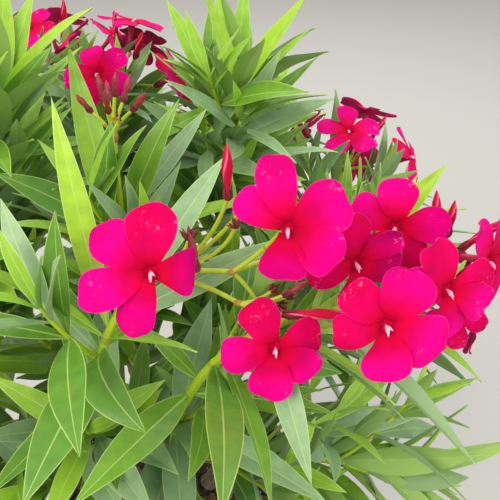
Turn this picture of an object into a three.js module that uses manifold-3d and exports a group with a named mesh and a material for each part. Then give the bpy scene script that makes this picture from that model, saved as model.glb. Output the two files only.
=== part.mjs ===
// A flowering oleander in a plain nursery pot.
// Units are millimetres, +Z is up, and the origin is the middle of the pot's flat underside.
// The front is -Y, where the two largest flower clusters lean out of the crown.
//
// Seven canes stand in the potting soil. Each forks into boughs, and each bough carries one
// leafy shoot: a stem with whorls of three narrow leaves, ending in open flowers, in buds or
// in young leaves. A leaf stays near its own shoot, clear of every other shoot's leaves.

import * as THREE from 'three';
import Module from 'manifold-3d';

const wasm = await Module();
wasm.setup();
const { Manifold } = wasm;

const RAD = Math.PI / 180;
const vec = (x, y, z) => new THREE.Vector3(x, y, z);
const mix = (a, b, share) => a + (b - a) * share;

// Driving dimensions

const GAP = 0.35; // air between two pieces that meet

const POT = {
  height: 200,
  footRadius: 82,
  rimRadius: 112,
  bandHeight: 24,
  bandProud: 4,
  lip: 3,
  wall: 2.5,
  floor: 4,
  sides: 36,
};
const DRAIN = { count: 5, radius: 6, ring: 56, sides: 6 };
const SOIL_TOP = POT.height - 22;

const CANE = { ring: 34, footRadius: 6.2, topRadius: 4.6, flare: 1.45, flareHeight: 14, sides: 8 };
const BOUGH = { radius: 3.6, tipRadius: 3.0, sides: 5, steps: 3 };
const STEM = { radius: 2.9, tipRadius: 1.8, sides: 4, steps: 5 };

const LEAF = { length: 104, width: 21, thickness: 1.5, leavesPerWhorl: 3 };
const LEAF_RISE = { low: 74, high: 24, underFlowers: 56 }; // degrees between leaf and stem
const LEAF_BEND = { low: 34, high: 12 }; // degrees a leaf arches over its length
const LEAF_TRIES = [1, 0.8, 1.2, 0.62, 1.4, 0.46]; // other angles, if a leaf has no room

// Clear air that a leaf keeps: over is how far it may reach past the middle between two shoots,
// the next three are from leaves, limbs and stalks, and the rest from a bloom and the pot.
const ROOM = { over: 24, leaf: 1.2, limb: 2, stalk: 1, disc: 7, rim: 2, tube: 5, overPot: 12 };

const LEAF_CHAIN = [0.15, 0.3, 0.45, 0.6, 0.72, 0.84, 0.93, 1]; // where a leaf's room is tested

const FLOWER = { radius: 23.5, tube: 21, throat: 3.3, throatDepth: 2.5, collarDepth: 4.5, petals: 5 };
const PETAL = [
  { turn: -24, reach: 0.95, depth: 0.5 },
  { turn: 20, reach: 1, depth: -1.5 },
  { turn: 36, reach: 0.52, depth: -1 }, // the notch between this petal and the next
];
const BUD = { length: 23, radius: 2.7, sides: 3 };
const STALK = { radius: 0.95, tipRadius: 0.8 };
const KNOB = { radius: 3.4, endRadius: 1.4, forkRadius: 1.5, sides: 5 }; // where stalks part

// The turn of each cane's foot about the pot, and where it forks: its turn, reach and height.
const CANES = [
  { name: 'front_left', foot: -118, turn: -100, reach: 82, height: 330 },
  { name: 'front_right', foot: -62, turn: -74, reach: 87, height: 345 },
  { name: 'right', foot: 0, turn: 0, reach: 76, height: 330 },
  { name: 'back_right', foot: 60, turn: 62, reach: 80, height: 340 },
  { name: 'back_left', foot: 122, turn: 124, reach: 86, height: 350 },
  { name: 'left', foot: 180, turn: -176, reach: 74, height: 340 },
  { name: 'middle', foot: -90, ring: 2, turn: -98, reach: 24, height: 335 },
];

const evenly = (count, low, high) =>
  Array.from({ length: count }, (_, i) => mix(low, high, i / (count - 1)));

// Each shoot: its cane, its tip, the share of the limb that is a bare bough, how strongly the
// limb keeps the cane's direction, the shares where its whorls sit and the turn of the first
// one, and what tops it.
const SHOOTS = [
  {
    cane: 0, tip: [30, -92, 530], bare: 0.14, arch: 0.98,
    whorls: [0.18, 0.27, 0.58, 0.67], spin: 145, top: 'front_left',
  },
  {
    cane: 1, tip: [145, -85, 505], bare: 0.1, arch: 1.1,
    whorls: [0.14, 0.23, 0.49, 0.57, 0.82], spin: 20, top: 'front_right',
  },
  {
    cane: 6, tip: [3, -25, 570], bare: 0.2, arch: 0.4,
    whorls: evenly(7, 0.26, 0.84), spin: 52, top: 'buds',
  },
  {
    cane: 3, tip: [66, 62, 560], bare: 0.3, arch: 0.5,
    whorls: evenly(7, 0.38, 0.985), spin: 30, top: 'leaves',
  },
  {
    cane: 5, tip: [-62, 0, 585], bare: 0.28, arch: 0.6,
    whorls: evenly(8, 0.36, 0.985), spin: 80, top: 'leaves',
  },
  {
    cane: 5, tip: [-88, -62, 528], bare: 0.32, arch: 0.5,
    whorls: evenly(6, 0.4, 0.985), spin: 10, top: 'leaves',
  },
  {
    cane: 2, tip: [142, -22, 488], bare: 0.34, arch: 0.5,
    whorls: evenly(5, 0.42, 0.985), spin: 60, top: 'leaves',
  },
  {
    cane: 2, tip: [152, 98, 480], bare: 0.36, arch: 0.5,
    whorls: evenly(5, 0.44, 0.9), spin: 0, top: 'flowers',
  },
  {
    cane: 4, tip: [-86, 182, 528], bare: 0.36, arch: 0.5,
    whorls: evenly(6, 0.44, 0.9), spin: 100, top: 'flowers',
  },
  {
    cane: 4, tip: [-22, 108, 545], bare: 0.32, arch: 0.5,
    whorls: evenly(6, 0.4, 0.9), spin: 40, top: 'flowers',
  },
  {
    cane: 0, tip: [-112, -134, 440], bare: 0.36, arch: 0.4,
    whorls: evenly(5, 0.44, 0.9), spin: 90, top: 'flowers',
  },
  {
    cane: 1, tip: [166, -112, 398], bare: 0.4, arch: 0.4,
    whorls: evenly(5, 0.46, 0.985), spin: 70, top: 'leaves',
  },
  {
    cane: 3, tip: [78, 184, 500], bare: 0.38, arch: 0.5,
    whorls: evenly(6, 0.44, 0.9), spin: 15, top: 'buds',
  },
  {
    cane: 4, tip: [-172, 84, 490], bare: 0.4, arch: 0.5,
    whorls: evenly(6, 0.46, 0.9), spin: 55, top: 'flowers',
  },
  {
    cane: 5, tip: [-188, -46, 450], bare: 0.4, arch: 0.45,
    whorls: evenly(5, 0.46, 0.985), spin: 25, top: 'leaves',
  },
  {
    cane: 2, tip: [200, 16, 415], bare: 0.4, arch: 0.4,
    whorls: evenly(5, 0.46, 0.9), spin: 110, top: 'flowers',
  },
  {
    cane: 0, tip: [-34, -176, 372], bare: 0.42, arch: 0.2,
    whorls: evenly(4, 0.5, 0.985), spin: 0, top: 'leaves',
  },
  {
    cane: 3, tip: [-12, 206, 432], bare: 0.4, arch: 0.45,
    whorls: evenly(5, 0.46, 0.985), spin: 85, top: 'leaves',
  },
  {
    cane: 1, tip: [82, -184, 388], bare: 0.42, arch: 0.2,
    whorls: evenly(4, 0.5, 0.985), spin: 50, top: 'leaves',
  },
  {
    cane: 6, tip: [66, -26, 470], bare: 0.3, arch: 0.12,
    whorls: evenly(5, 0.36, 0.985), spin: 35, top: 'leaves',
  },
  {
    cane: 6, tip: [-54, -58, 448], bare: 0.34, arch: 0.12,
    whorls: evenly(4, 0.42, 0.985), spin: 75, top: 'leaves',
  },
];

// The blooms of the two front clusters: the middle of each face from the shoot's tip, the way
// the face looks (turn about +Z and rise above level) and its roll, in degrees. Stalks that
// part again start at a fork instead of at the shoot's tip.
const FRONT_FORKS = {
  front_left: [
    [37, -7, 9],
    [40, -18, 0],
  ],
  front_right: [],
};
const FRONT_BLOOMS = {
  front_left: [
    { at: [7, -38, 35], turn: -84, rise: 28, roll: 8 },
    { at: [59, -33, 52], turn: -92, rise: 30, roll: 26, fork: 0 },
    { at: [92, -14, 19], turn: -70, rise: 12, roll: 50, fork: 0 },
    { at: [56, -40, -6], turn: -86, rise: 32, roll: 20, fork: 0 },
  ],
  front_right: [
    { at: [-17, -56, 42], turn: -88, rise: 30, roll: 2 },
    { at: [16, -30, 37], turn: -70, rise: 26, roll: 30 },
    { at: [42, -8, 35], turn: -48, rise: 20, roll: 64 },
    { at: [-2, 4, 46], turn: -96, rise: 30, roll: 12 },
  ],
};
const FRONT_BUDS = {
  front_left: [
    { at: [36, -9, 50], turn: 90, rise: 80, size: 1.0 },
    { at: [41, -1, 38], turn: 40, rise: 60, size: 0.5 },
    { at: [60, -26, 1], turn: -4, rise: 4, size: 1.25, fork: 1 },
    { at: [60, -18, 5], turn: 10, rise: 30, size: 0.55, fork: 1 },
  ],
  front_right: [
    { at: [19, 8, 40], turn: 120, rise: 76, size: 0.95 },
    { at: [26, 10, 37], turn: 80, rise: 78, size: 0.8 },
    { at: [33, 8, 30], turn: 14, rise: 34, size: 1.15 },
    { at: [-4, -12, 30], turn: 60, rise: 50, size: 0.55 },
  ],
};

// The leaves that show most in front, before the rule fills in the others: the shoot, the share
// of it where the leaf starts, its tip, its width, how far it arches, and how its upper side
// turns away from the front, in degrees.
const FRONT_LEAVES = [
  { shoot: 0, at: 0.7, tip: [-12, -59, 606], width: 13, bend: 14, turn: 8 },
  { shoot: 2, at: 0.7, tip: [-26, 20, 605], width: 18.5, bend: 12, turn: 0 },
  { shoot: 2, at: 0.78, tip: [37, -6, 583], width: 18.5, bend: 26, turn: -14 },
  { shoot: 2, at: 0.82, tip: [50, 17, 568], width: 12.5, bend: 16, turn: 20 },
  { shoot: 0, at: 0.86, tip: [62, -27, 560], width: 15, bend: 18, turn: 0 },
  { shoot: 0, at: 0.76, tip: [92, -69, 536], width: 15, bend: 14, turn: 0 },
  { shoot: 0, at: 0.6, tip: [-15, -181, 487], width: 24, bend: 24, turn: 6 },
  { shoot: 0, at: 0.61, tip: [32, -156, 499], width: 21, bend: 90, turn: 0 },
  { shoot: 0, at: 0.6, tip: [-42, -83, 534], width: 12, bend: 20, turn: 10 },
  { shoot: 1, at: 0.42, tip: [23, -103, 508], width: 9, bend: 18, turn: 30 },
  { shoot: 1, at: 0.68, tip: [102, -164, 472], width: 15.5, bend: 20, turn: 0 },
  { shoot: 19, at: 0.7, tip: [28, -88, 368], width: 15, bend: 20, turn: 0 },
];
const FRONT = vec(0, -0.79, 0.61); // the way their upper sides look

// A cluster made by rule: one bloom on top and a ring of them below, with buds in the gaps.
const CLUSTER = { ring: 4, reach: 50, topSpread: 8, ringSpread: 62, buds: 3, budSpread: 36, budReach: 36 };
const BUD_CLUSTER = { buds: 7, reach: 24, spread: 48, goldenTurn: 137.5, size: 0.62 };

const FIRST_SEED = 4100;

// Growth: the same rule gives every place, so that it can be followed again in finer detail.

function seeded(seed) {
  let state = seed;
  return (low = 0, high = 1) => {
    state = (state * 1664525 + 1013904223) % 4294967296;
    return low + ((high - low) * state) / 4294967296;
  };
}

function aim(turn, rise) {
  const flat = Math.cos(rise * RAD);
  return vec(flat * Math.cos(turn * RAD), flat * Math.sin(turn * RAD), Math.sin(rise * RAD));
}

// Two directions square to a given one.
function across(direction) {
  const first = vec(1, 0, 0).addScaledVector(direction, -direction.x).normalize();
  return [first, vec(0, 0, 0).crossVectors(direction, first)];
}

function caneCurve(cane) {
  const foot = aim(cane.foot, 0).multiplyScalar(cane.ring ?? CANE.ring).setZ(SOIL_TOP + GAP);
  const fork = aim(cane.turn, 0).multiplyScalar(cane.reach).setZ(cane.height);
  const middle = foot.clone().lerp(fork, 0.6).setZ(mix(foot.z, fork.z, 0.5));
  return new THREE.QuadraticBezierCurve3(foot, middle, fork);
}

function shootCurve(shoot, cane) {
  const start = cane.getPoint(1);
  const tip = vec(...shoot.tip);
  const away = start.distanceTo(tip) * shoot.arch;
  return new THREE.QuadraticBezierCurve3(
    start,
    start.clone().addScaledVector(cane.getTangent(1), away),
    tip,
  );
}

function spine(curve, from, to, steps) {
  return Array.from({ length: steps + 1 }, (_, i) => curve.getPoint(mix(from, to, i / steps)));
}

// A direction leaning away from a heading by a spread, towards a turn about it, in degrees.
function leaning(heading, spread, turn) {
  const [right, ahead] = across(heading);
  return heading
    .clone()
    .multiplyScalar(Math.cos(spread * RAD))
    .addScaledVector(right, Math.sin(spread * RAD) * Math.cos(turn * RAD))
    .addScaledVector(ahead, Math.sin(spread * RAD) * Math.sin(turn * RAD));
}

function ruledCluster(hub, heading, random) {
  const step = 360 / CLUSTER.ring;
  const start = random(0, step);
  const blooms = [];
  for (let i = 0; i <= CLUSTER.ring; i++) {
    const spread = i ? CLUSTER.ringSpread + random(-7, 7) : CLUSTER.topSpread;
    const way = leaning(heading, spread, start + i * step + random(-8, 8));
    const face = way.clone().setZ(way.z + 0.25).normalize();
    const reach = CLUSTER.reach * random(0.9, 1.1);
    blooms.push({ centre: hub.clone().addScaledVector(way, reach), face, roll: random(0, 72) });
  }
  const buds = [];
  for (let i = 0; i < CLUSTER.buds; i++) {
    const way = leaning(heading, CLUSTER.budSpread, start + (i * 2 + 0.5) * step);
    const foot = hub.clone().addScaledVector(way, CLUSTER.budReach * random(0.85, 1.15));
    buds.push({ foot, way: way.clone().setZ(way.z + 0.3).normalize(), size: random(0.6, 1.1) });
  }
  return { blooms, buds, forks: [] };
}

function budCluster(hub, heading, random) {
  const buds = [];
  for (let i = 0; i < BUD_CLUSTER.buds; i++) {
    const spread = mix(8, BUD_CLUSTER.spread, i / (BUD_CLUSTER.buds - 1));
    const way = leaning(heading, spread, i * BUD_CLUSTER.goldenTurn);
    const foot = hub.clone().addScaledVector(way, BUD_CLUSTER.reach * random(0.6, 1));
    buds.push({ foot, way, size: BUD_CLUSTER.size * random(0.7, 1.1) });
  }
  return { blooms: [], buds, forks: [] };
}

function listedCluster(name, hub) {
  const forks = FRONT_FORKS[name].map((at) => hub.clone().add(vec(...at)));
  const blooms = FRONT_BLOOMS[name].map((bloom) => ({
    centre: hub.clone().add(vec(...bloom.at)),
    face: aim(bloom.turn, bloom.rise),
    roll: bloom.roll,
    fork: forks[bloom.fork],
  }));
  const buds = FRONT_BUDS[name].map((bud) => ({
    foot: hub.clone().add(vec(...bud.at)),
    way: aim(bud.turn, bud.rise),
    size: bud.size,
    fork: forks[bud.fork],
  }));
  return { blooms, buds, forks };
}

function clusterOf(shoot, curve, random) {
  const hub = curve.getPoint(1);
  const heading = curve.getTangent(1).add(vec(0, 0, 0.5)).normalize();
  if (shoot.top === 'flowers') return ruledCluster(hub, heading, random);
  if (shoot.top === 'buds') return budCluster(hub, heading, random);
  if (shoot.top === 'leaves') return { blooms: [], buds: [], forks: [] };
  return listedCluster(shoot.top, hub);
}

// A stalk leaves the hub along the stem and arrives at a flower or bud from behind.
function stalkCurve(hub, heading, foot, way) {
  const away = hub.distanceTo(foot) * 0.45;
  const middle = hub
    .clone()
    .addScaledVector(heading, away * 0.8)
    .lerp(foot.clone().addScaledVector(way, -away), 0.5);
  return new THREE.QuadraticBezierCurve3(hub, middle, foot);
}

// Where a stalk passes on its way from the hub, or from a fork, to the foot of a flower or bud.
function stalkRun(shoot, foot, way, fork) {
  const hub = shoot.curve.getPoint(1);
  const curve = fork
    ? stalkCurve(fork, fork.clone().sub(hub).normalize(), foot, way)
    : stalkCurve(hub, shoot.curve.getTangent(1), foot, way);
  const shares = [0, 0.5, 1];
  return {
    points: shares.map((share) => curve.getPoint(share)),
    headings: shares.map((share) => curve.getTangent(share)),
    radii: shares.map((share) => mix(STALK.radius, STALK.tipRadius, share)),
  };
}

// The stalk from the hub to a fork, and a little past it.
function forkRun(shoot, fork) {
  const way = fork.clone().sub(shoot.curve.getPoint(1)).normalize();
  const { points, headings, radii } = stalkRun(shoot, fork, way);
  return {
    points: [...points, fork.clone().addScaledVector(way, KNOB.forkRadius)],
    headings: [...headings, way],
    radii: [...radii.map((radius) => radius * 1.2), KNOB.forkRadius],
  };
}

const bloomFoot = (bloom) => bloom.centre.clone().addScaledVector(bloom.face, -FLOWER.tube);
const budPoint = (bud, share) => bud.foot.clone().addScaledVector(bud.way, BUD.length * bud.size * share);

// How wide a leaf is along its length, as a share of its greatest width.
function leafShape(along) {
  if (along >= 1) return 0;
  return Math.max(Math.sin(Math.PI * along ** 0.92) ** 0.85, along < 0.1 ? 0.14 : 0);
}

// The place, heading, upper side and width direction of a leaf at a share of its length. It
// arches away from the stem, in the plane of the stem and of the way it grows out.
function leafFrame(leaf, along) {
  const start = leaf.rise;
  const now = start + leaf.bend * along;
  const forward = ((Math.sin(now) - Math.sin(start)) / leaf.bend) * leaf.length;
  const outward = ((Math.cos(start) - Math.cos(now)) / leaf.bend) * leaf.length;
  const place = leaf.root
    .clone()
    .addScaledVector(leaf.stem, forward)
    .addScaledVector(leaf.out, outward);
  const heading = leaf.stem.clone().multiplyScalar(Math.cos(now)).addScaledVector(leaf.out, Math.sin(now));
  const upper = leaf.stem.clone().multiplyScalar(Math.sin(now)).addScaledVector(leaf.out, -Math.cos(now));
  const side = vec(0, 0, 0).crossVectors(heading, upper);
  upper.applyAxisAngle(heading, leaf.twist * along);
  side.applyAxisAngle(heading, leaf.twist * along);
  return { place, heading, upper, side };
}

function distanceToSpine(point, points) {
  let nearest = Infinity;
  for (let i = 1; i < points.length; i++) {
    const line = new THREE.Line3(points[i - 1], points[i]);
    nearest = Math.min(nearest, line.closestPointToPoint(point, true, vec(0, 0, 0)).distanceTo(point));
  }
  return nearest;
}

// A bloom's own room: a flat disc round its face, and its tube behind.
function inBloom(point, bloom) {
  const to = point.clone().sub(bloom.centre);
  const depth = to.dot(bloom.face);
  const off = Math.sqrt(Math.max(0, to.lengthSq() - depth * depth));
  const disc = Math.abs(depth) < ROOM.disc && off < FLOWER.radius + ROOM.rim;
  const tube = depth < 0 && depth > -FLOWER.tube && off < ROOM.tube;
  return disc || tube;
}

// The middle line of a leaf with its half width there.
function leafChain(leaf) {
  return LEAF_CHAIN.map((along) => {
    const { place, side } = leafFrame(leaf, along);
    return { place, side, half: (leafShape(along) * leaf.width) / 2 };
  });
}

function pointFits(point, own, plant) {
  const home = distanceToSpine(point, plant.shoots[own].axis);
  return (
    point.z > POT.height + ROOM.overPot &&
    plant.shoots.every((other, i) => i === own || distanceToSpine(point, other.axis) + ROOM.over > home) &&
    plant.limbs.every((limb) => limb.shoot === own || distanceToSpine(point, limb.spine) > limb.reach) &&
    plant.shoots.every((other) => !other.blooms.some((bloom) => inBloom(point, bloom)))
  );
}

// Whether two leaves of different shoots keep apart along their whole length.
function apart(chain, other) {
  return chain.every(({ place, half }) =>
    other.every((link) => place.distanceTo(link.place) > half + link.half + ROOM.leaf),
  );
}

// Whether a leaf stays near its own shoot, clear of limbs, blooms and other shoots' leaves.
function leafFits(leaf, own, plant) {
  const chain = leafChain(leaf);
  return (
    chain.every(({ place, side, half }) =>
      (half ? [-half, 0, half] : [0]).every((edge) =>
        pointFits(place.clone().addScaledVector(side, edge), own, plant),
      ),
    ) && plant.chains.every((grown) => grown.shoot === own || apart(chain, grown.chain))
  );
}

// A listed leaf arches evenly from where it starts on its shoot to its tip.
function listedLeaf({ at, tip, width, bend, turn }, shoot) {
  const root = shoot.curve.getPoint(at);
  const stem = vec(...tip).sub(root);
  const half = (bend * RAD) / 2;
  const length = (stem.length() * half) / Math.sin(half);
  stem.normalize();
  const out = FRONT.clone().addScaledVector(stem, -FRONT.dot(stem)).normalize().negate();
  out.applyAxisAngle(stem, turn * RAD);
  return { root, stem, out, rise: -half, bend: 2 * half, length, width, twist: 0 };
}

function growLeaves(own, plant) {
  const shoot = plant.shoots[own];
  const { random, whorls } = shoot;
  const leafy = shoot.top === 'leaves';
  const high = leafy ? LEAF_RISE.high : LEAF_RISE.underFlowers;
  const leaves = [];
  whorls.forEach((at, w) => {
    const up = w / (whorls.length - 1);
    const young = leafy && w === whorls.length - 1;
    const stem = shoot.curve.getTangent(at);
    const turn = shoot.spin + w * 60 + random(-9, 9);
    for (let i = 0; i < LEAF.leavesPerWhorl; i++) {
      const leaf = {
        root: shoot.curve.getPoint(at),
        stem,
        out: leaning(stem, 90, turn + i * (360 / LEAF.leavesPerWhorl) + random(-8, 8)),
        rise: (mix(LEAF_RISE.low, high, up ** 0.8) + random(-7, 7)) * RAD,
        bend: (mix(LEAF_BEND.low, LEAF_BEND.high, up) + random(-6, 10)) * RAD,
        length: LEAF.length * (young ? 0.72 : mix(1, 0.84, up)) * random(0.88, 1.1),
        width: LEAF.width * mix(1.05, 0.88, up) * random(0.88, 1.12),
        twist: random(-24, 24) * RAD,
      };
      const fitted = LEAF_TRIES.map((share, t) => ({
        ...leaf,
        rise: leaf.rise * share,
        bend: leaf.bend * Math.min(1, share),
        length: leaf.length * 0.96 ** t,
      })).find((attempt) => leafFits(attempt, own, plant));
      if (!fitted) continue;
      leaves.push(fitted);
      plant.chains.push({ shoot: own, chain: leafChain(fitted) });
    }
  });
  return leaves;
}

// Where every limb, stalk and bud runs, with the distance that leaves keep from it.
function limbRuns(canes, shoots) {
  const runs = canes.map((curve) => ({ spine: spine(curve, 0, 1, 6), reach: CANE.footRadius + ROOM.limb }));
  shoots.forEach((shoot, i) => {
    runs.push({ spine: spine(shoot.curve, 0, shoot.bare, 4), reach: BOUGH.radius + ROOM.limb });
    runs.push({ shoot: i, spine: shoot.axis, reach: STEM.radius + ROOM.limb });
    for (const bloom of shoot.blooms) {
      const { points } = stalkRun(shoot, bloomFoot(bloom), bloom.face, bloom.fork);
      runs.push({ spine: points, reach: STALK.radius + ROOM.stalk });
    }
    for (const bud of shoot.buds) {
      const points = [...stalkRun(shoot, bud.foot, bud.way, bud.fork).points, budPoint(bud, 1)];
      runs.push({ spine: points, reach: BUD.radius });
    }
    for (const fork of shoot.forks) {
      runs.push({ spine: forkRun(shoot, fork).points, reach: STALK.radius + ROOM.stalk });
    }
  });
  return runs;
}

function grow() {
  const canes = CANES.map(caneCurve);
  const shoots = SHOOTS.map((shoot, i) => {
    const random = seeded(FIRST_SEED + i);
    const curve = shootCurve(shoot, canes[shoot.cane]);
    const axis = spine(curve, shoot.bare, 1, 6);
    return { ...shoot, random, curve, axis, ...clusterOf(shoot, curve, random) };
  });
  const plant = { canes, shoots, limbs: limbRuns(canes, shoots), chains: [] };
  shoots.forEach((shoot, i) => {
    const listed = FRONT_LEAVES.filter((leaf) => leaf.shoot === i);
    shoot.leaves = listed.map((leaf) => listedLeaf(leaf, shoot));
    plant.chains.push(...shoot.leaves.map((leaf) => ({ chain: leafChain(leaf) })));
  });
  shoots.forEach((shoot, i) => {
    shoot.leaves.push(...growLeaves(i, plant));
  });
  return plant;
}

// Solids

function solidFrom(points, faces) {
  return new Manifold(
    new wasm.Mesh({
      numProp: 3,
      vertProperties: new Float32Array(points.flatMap((p) => [p.x, p.y, p.z])),
      triVerts: new Uint32Array(faces.flat()),
    }),
  );
}

function geometryFrom(solid) {
  const mesh = solid.getMesh();
  const places = new Float32Array(mesh.numVert * 3);
  for (let i = 0; i < mesh.numVert; i++) {
    places.set(mesh.vertProperties.subarray(i * mesh.numProp, i * mesh.numProp + 3), i * 3);
  }
  const geometry = new THREE.BufferGeometry();
  geometry.setAttribute('position', new THREE.BufferAttribute(places, 3));
  geometry.setIndex(new THREE.BufferAttribute(mesh.triVerts, 1));
  geometry.computeVertexNormals();
  return geometry;
}

// One outer body: loose scraps are dropped and sealed hollows filled.
function largestBody(solid) {
  return solid.decompose().reduce((a, b) => (b.volume() > a.volume() ? b : a));
}

// Rings of corners round the given points. Each ring follows on from the one before, untwisted.
function ringsAlong(points, headings, radii, sides, firstRight = across(headings[0])[0]) {
  let right = firstRight.clone();
  return points.map((point, i) => {
    right = right.addScaledVector(headings[i], -right.dot(headings[i])).normalize();
    const ahead = vec(0, 0, 0).crossVectors(headings[i], right);
    return Array.from({ length: sides }, (_, s) => {
      const turn = (s / sides) * 2 * Math.PI;
      return point
        .clone()
        .addScaledVector(right, Math.cos(turn) * radii[i])
        .addScaledVector(ahead, Math.sin(turn) * radii[i]);
    });
  });
}

// The faces between two rings of corners, the second one further along.
function band(first, second, sides) {
  return Array.from({ length: sides }, (_, s) => s).flatMap((s) => {
    const next = (s + 1) % sides;
    return [
      [first + s, first + next, second + next],
      [first + s, second + next, second + s],
    ];
  });
}

// The flat end of a run of rings, looking back along it.
function startCap(first, sides) {
  return Array.from({ length: sides - 2 }, (_, s) => [first, first + s + 2, first + s + 1]);
}

function limbSolid(points, headings, radii, sides) {
  const faces = startCap(0, sides);
  const last = (points.length - 1) * sides;
  for (let i = 1; i < points.length; i++) faces.push(...band((i - 1) * sides, i * sides, sides));
  for (let s = 1; s < sides - 1; s++) faces.push([last, last + s, last + s + 1]);
  return solidFrom(ringsAlong(points, headings, radii, sides).flat(), faces);
}

// A limb along part of a curve. Swell moves its skin out on every side, or in if negative.
function limbAlong(curve, from, to, limb, swell = 0) {
  const shares = Array.from({ length: limb.steps + 1 }, (_, i) => i / limb.steps);
  const points = spine(curve, from, to, limb.steps);
  const headings = shares.map((share) => curve.getTangent(mix(from, to, share)));
  const radii = shares.map((share) => mix(limb.radius, limb.tipRadius, share) + swell);
  points[0].addScaledVector(headings[0], -swell);
  points[limb.steps].addScaledVector(headings[limb.steps], swell);
  return limbSolid(points, headings, radii, limb.sides);
}

function caneSolid(curve, swell = 0) {
  const shares = [0, CANE.flareHeight / (curve.v2.z - curve.v0.z), 0.35, 0.65, 1];
  const points = shares.map((share) => curve.getPoint(share));
  const headings = shares.map((share) => curve.getTangent(share));
  const radii = shares.map((share) => mix(CANE.footRadius, CANE.topRadius, share) + swell);
  headings[0] = vec(0, 0, 1); // the foot is cut level
  radii[0] *= CANE.flare;
  points[4].addScaledVector(headings[4], swell);
  return limbSolid(points, headings, radii, CANE.sides);
}

// A leaf: a thin keeled blade with three-cornered sections, from a root inside the stem.
function leafSolid(leaf) {
  const sections = [0.3, 0.68];
  const corners = sections.flatMap((along) => {
    const { place, upper, side } = leafFrame(leaf, along);
    const half = (leafShape(along) * leaf.width) / 2;
    const lift = LEAF.thickness / 2;
    return [
      place.clone().addScaledVector(side, half).addScaledVector(upper, lift),
      place.clone().addScaledVector(side, -half).addScaledVector(upper, lift),
      place.clone().addScaledVector(upper, -lift),
    ];
  });
  corners.push(leaf.root, leafFrame(leaf, 1).place);
  const faces = [];
  for (let s = 0; s < 3; s++) {
    const next = (s + 1) % 3;
    faces.push([6, s, next], [s, 3 + s, 3 + next], [s, 3 + next, next], [3 + s, 7, 3 + next]);
  }
  return solidFrom(corners, faces);
}

// A flower on its stalk: five spreading petals in one star, and the tube behind its throat.
function flowerSolid(shoot, bloom) {
  const sides = FLOWER.petals;
  const step = 360 / sides;
  const right = leaning(bloom.face, 90, bloom.roll);
  const ahead = vec(0, 0, 0).crossVectors(bloom.face, right);
  const place = (radius, degrees, depth) =>
    bloom.centre
      .clone()
      .addScaledVector(right, radius * Math.cos(degrees * RAD))
      .addScaledVector(ahead, radius * Math.sin(degrees * RAD))
      .addScaledVector(bloom.face, depth);
  const corners = [];
  for (let p = 0; p < sides; p++) {
    for (const { turn, reach, depth } of PETAL) {
      corners.push(place(FLOWER.radius * reach, p * step + turn, depth));
    }
  }
  const rim = corners.length;
  corners.push(place(0, 0, -FLOWER.throatDepth));

  // From the throat back along the tube and the stalk to the hub.
  const run = stalkRun(shoot, bloomFoot(bloom), bloom.face, bloom.fork);
  const points = [place(0, 0, -FLOWER.collarDepth), ...run.points.reverse()];
  const headings = [bloom.face, ...run.headings.reverse()];
  const radii = [FLOWER.throat, ...run.radii.reverse()];
  corners.push(...ringsAlong(points, headings, radii, sides, right).flat());

  const collar = rim + 1;
  const ring = (i) => collar + i * sides;
  const faces = [];
  for (let i = 0; i < rim; i++) faces.push([rim, i, (i + 1) % rim]);
  for (let p = 0; p < sides; p++) {
    const first = p * PETAL.length;
    const chain = [(first + rim - 1) % rim, first, first + 1, first + 2];
    for (let k = 1; k < chain.length; k++) faces.push([collar + p, chain[k], chain[k - 1]]);
    faces.push([collar + p, collar + ((p + 1) % sides), first + 2]);
  }
  for (let i = 1; i < points.length; i++) faces.push(...band(ring(i), ring(i - 1), sides));
  faces.push(...startCap(ring(points.length - 1), sides));
  return solidFrom(corners, faces);
}

// A bud on its stalk: a slender spindle.
function budSolid(shoot, bud) {
  const sides = BUD.sides;
  const run = stalkRun(shoot, bud.foot, bud.way, bud.fork);
  const points = [...run.points, budPoint(bud, 0.42)];
  const radii = [...run.radii, BUD.radius * Math.sqrt(bud.size)];
  const corners = ringsAlong(points, [...run.headings, bud.way], radii, sides).flat();
  const last = (points.length - 1) * sides;
  const faces = startCap(0, sides);
  for (let i = 1; i < points.length; i++) faces.push(...band((i - 1) * sides, i * sides, sides));
  for (let s = 0; s < sides; s++) faces.push([last + s, last + ((s + 1) % sides), corners.length]);
  return solidFrom([...corners, budPoint(bud, 1)], faces);
}

// The swollen end of the stem, which hides where the stalks start.
function knobSolid(shoot) {
  const middle = shoot.curve.getPoint(1);
  const heading = shoot.curve.getTangent(1);
  const points = [-1, 0, 0.7].map((step) => middle.clone().addScaledVector(heading, step * KNOB.radius));
  const radii = [KNOB.endRadius, KNOB.radius, KNOB.endRadius];
  return limbSolid(points, [heading, heading, heading], radii, KNOB.sides);
}

function forkSolid(shoot, fork) {
  const { points, headings, radii } = forkRun(shoot, fork);
  return limbSolid(points, headings, radii, KNOB.sides);
}

function shootSolid(shoot) {
  const stem = limbAlong(shoot.curve, shoot.bare, 1, STEM, -GAP);
  const knob = shoot.buds.length ? [knobSolid(shoot)] : [];
  return largestBody(
    Manifold.union([
      stem,
      ...knob,
      ...shoot.leaves.map(leafSolid),
      ...shoot.blooms.map((bloom) => flowerSolid(shoot, bloom)),
      ...shoot.buds.map((bud) => budSolid(shoot, bud)),
      ...shoot.forks.map((fork) => forkSolid(shoot, fork)),
    ]),
  );
}

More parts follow.
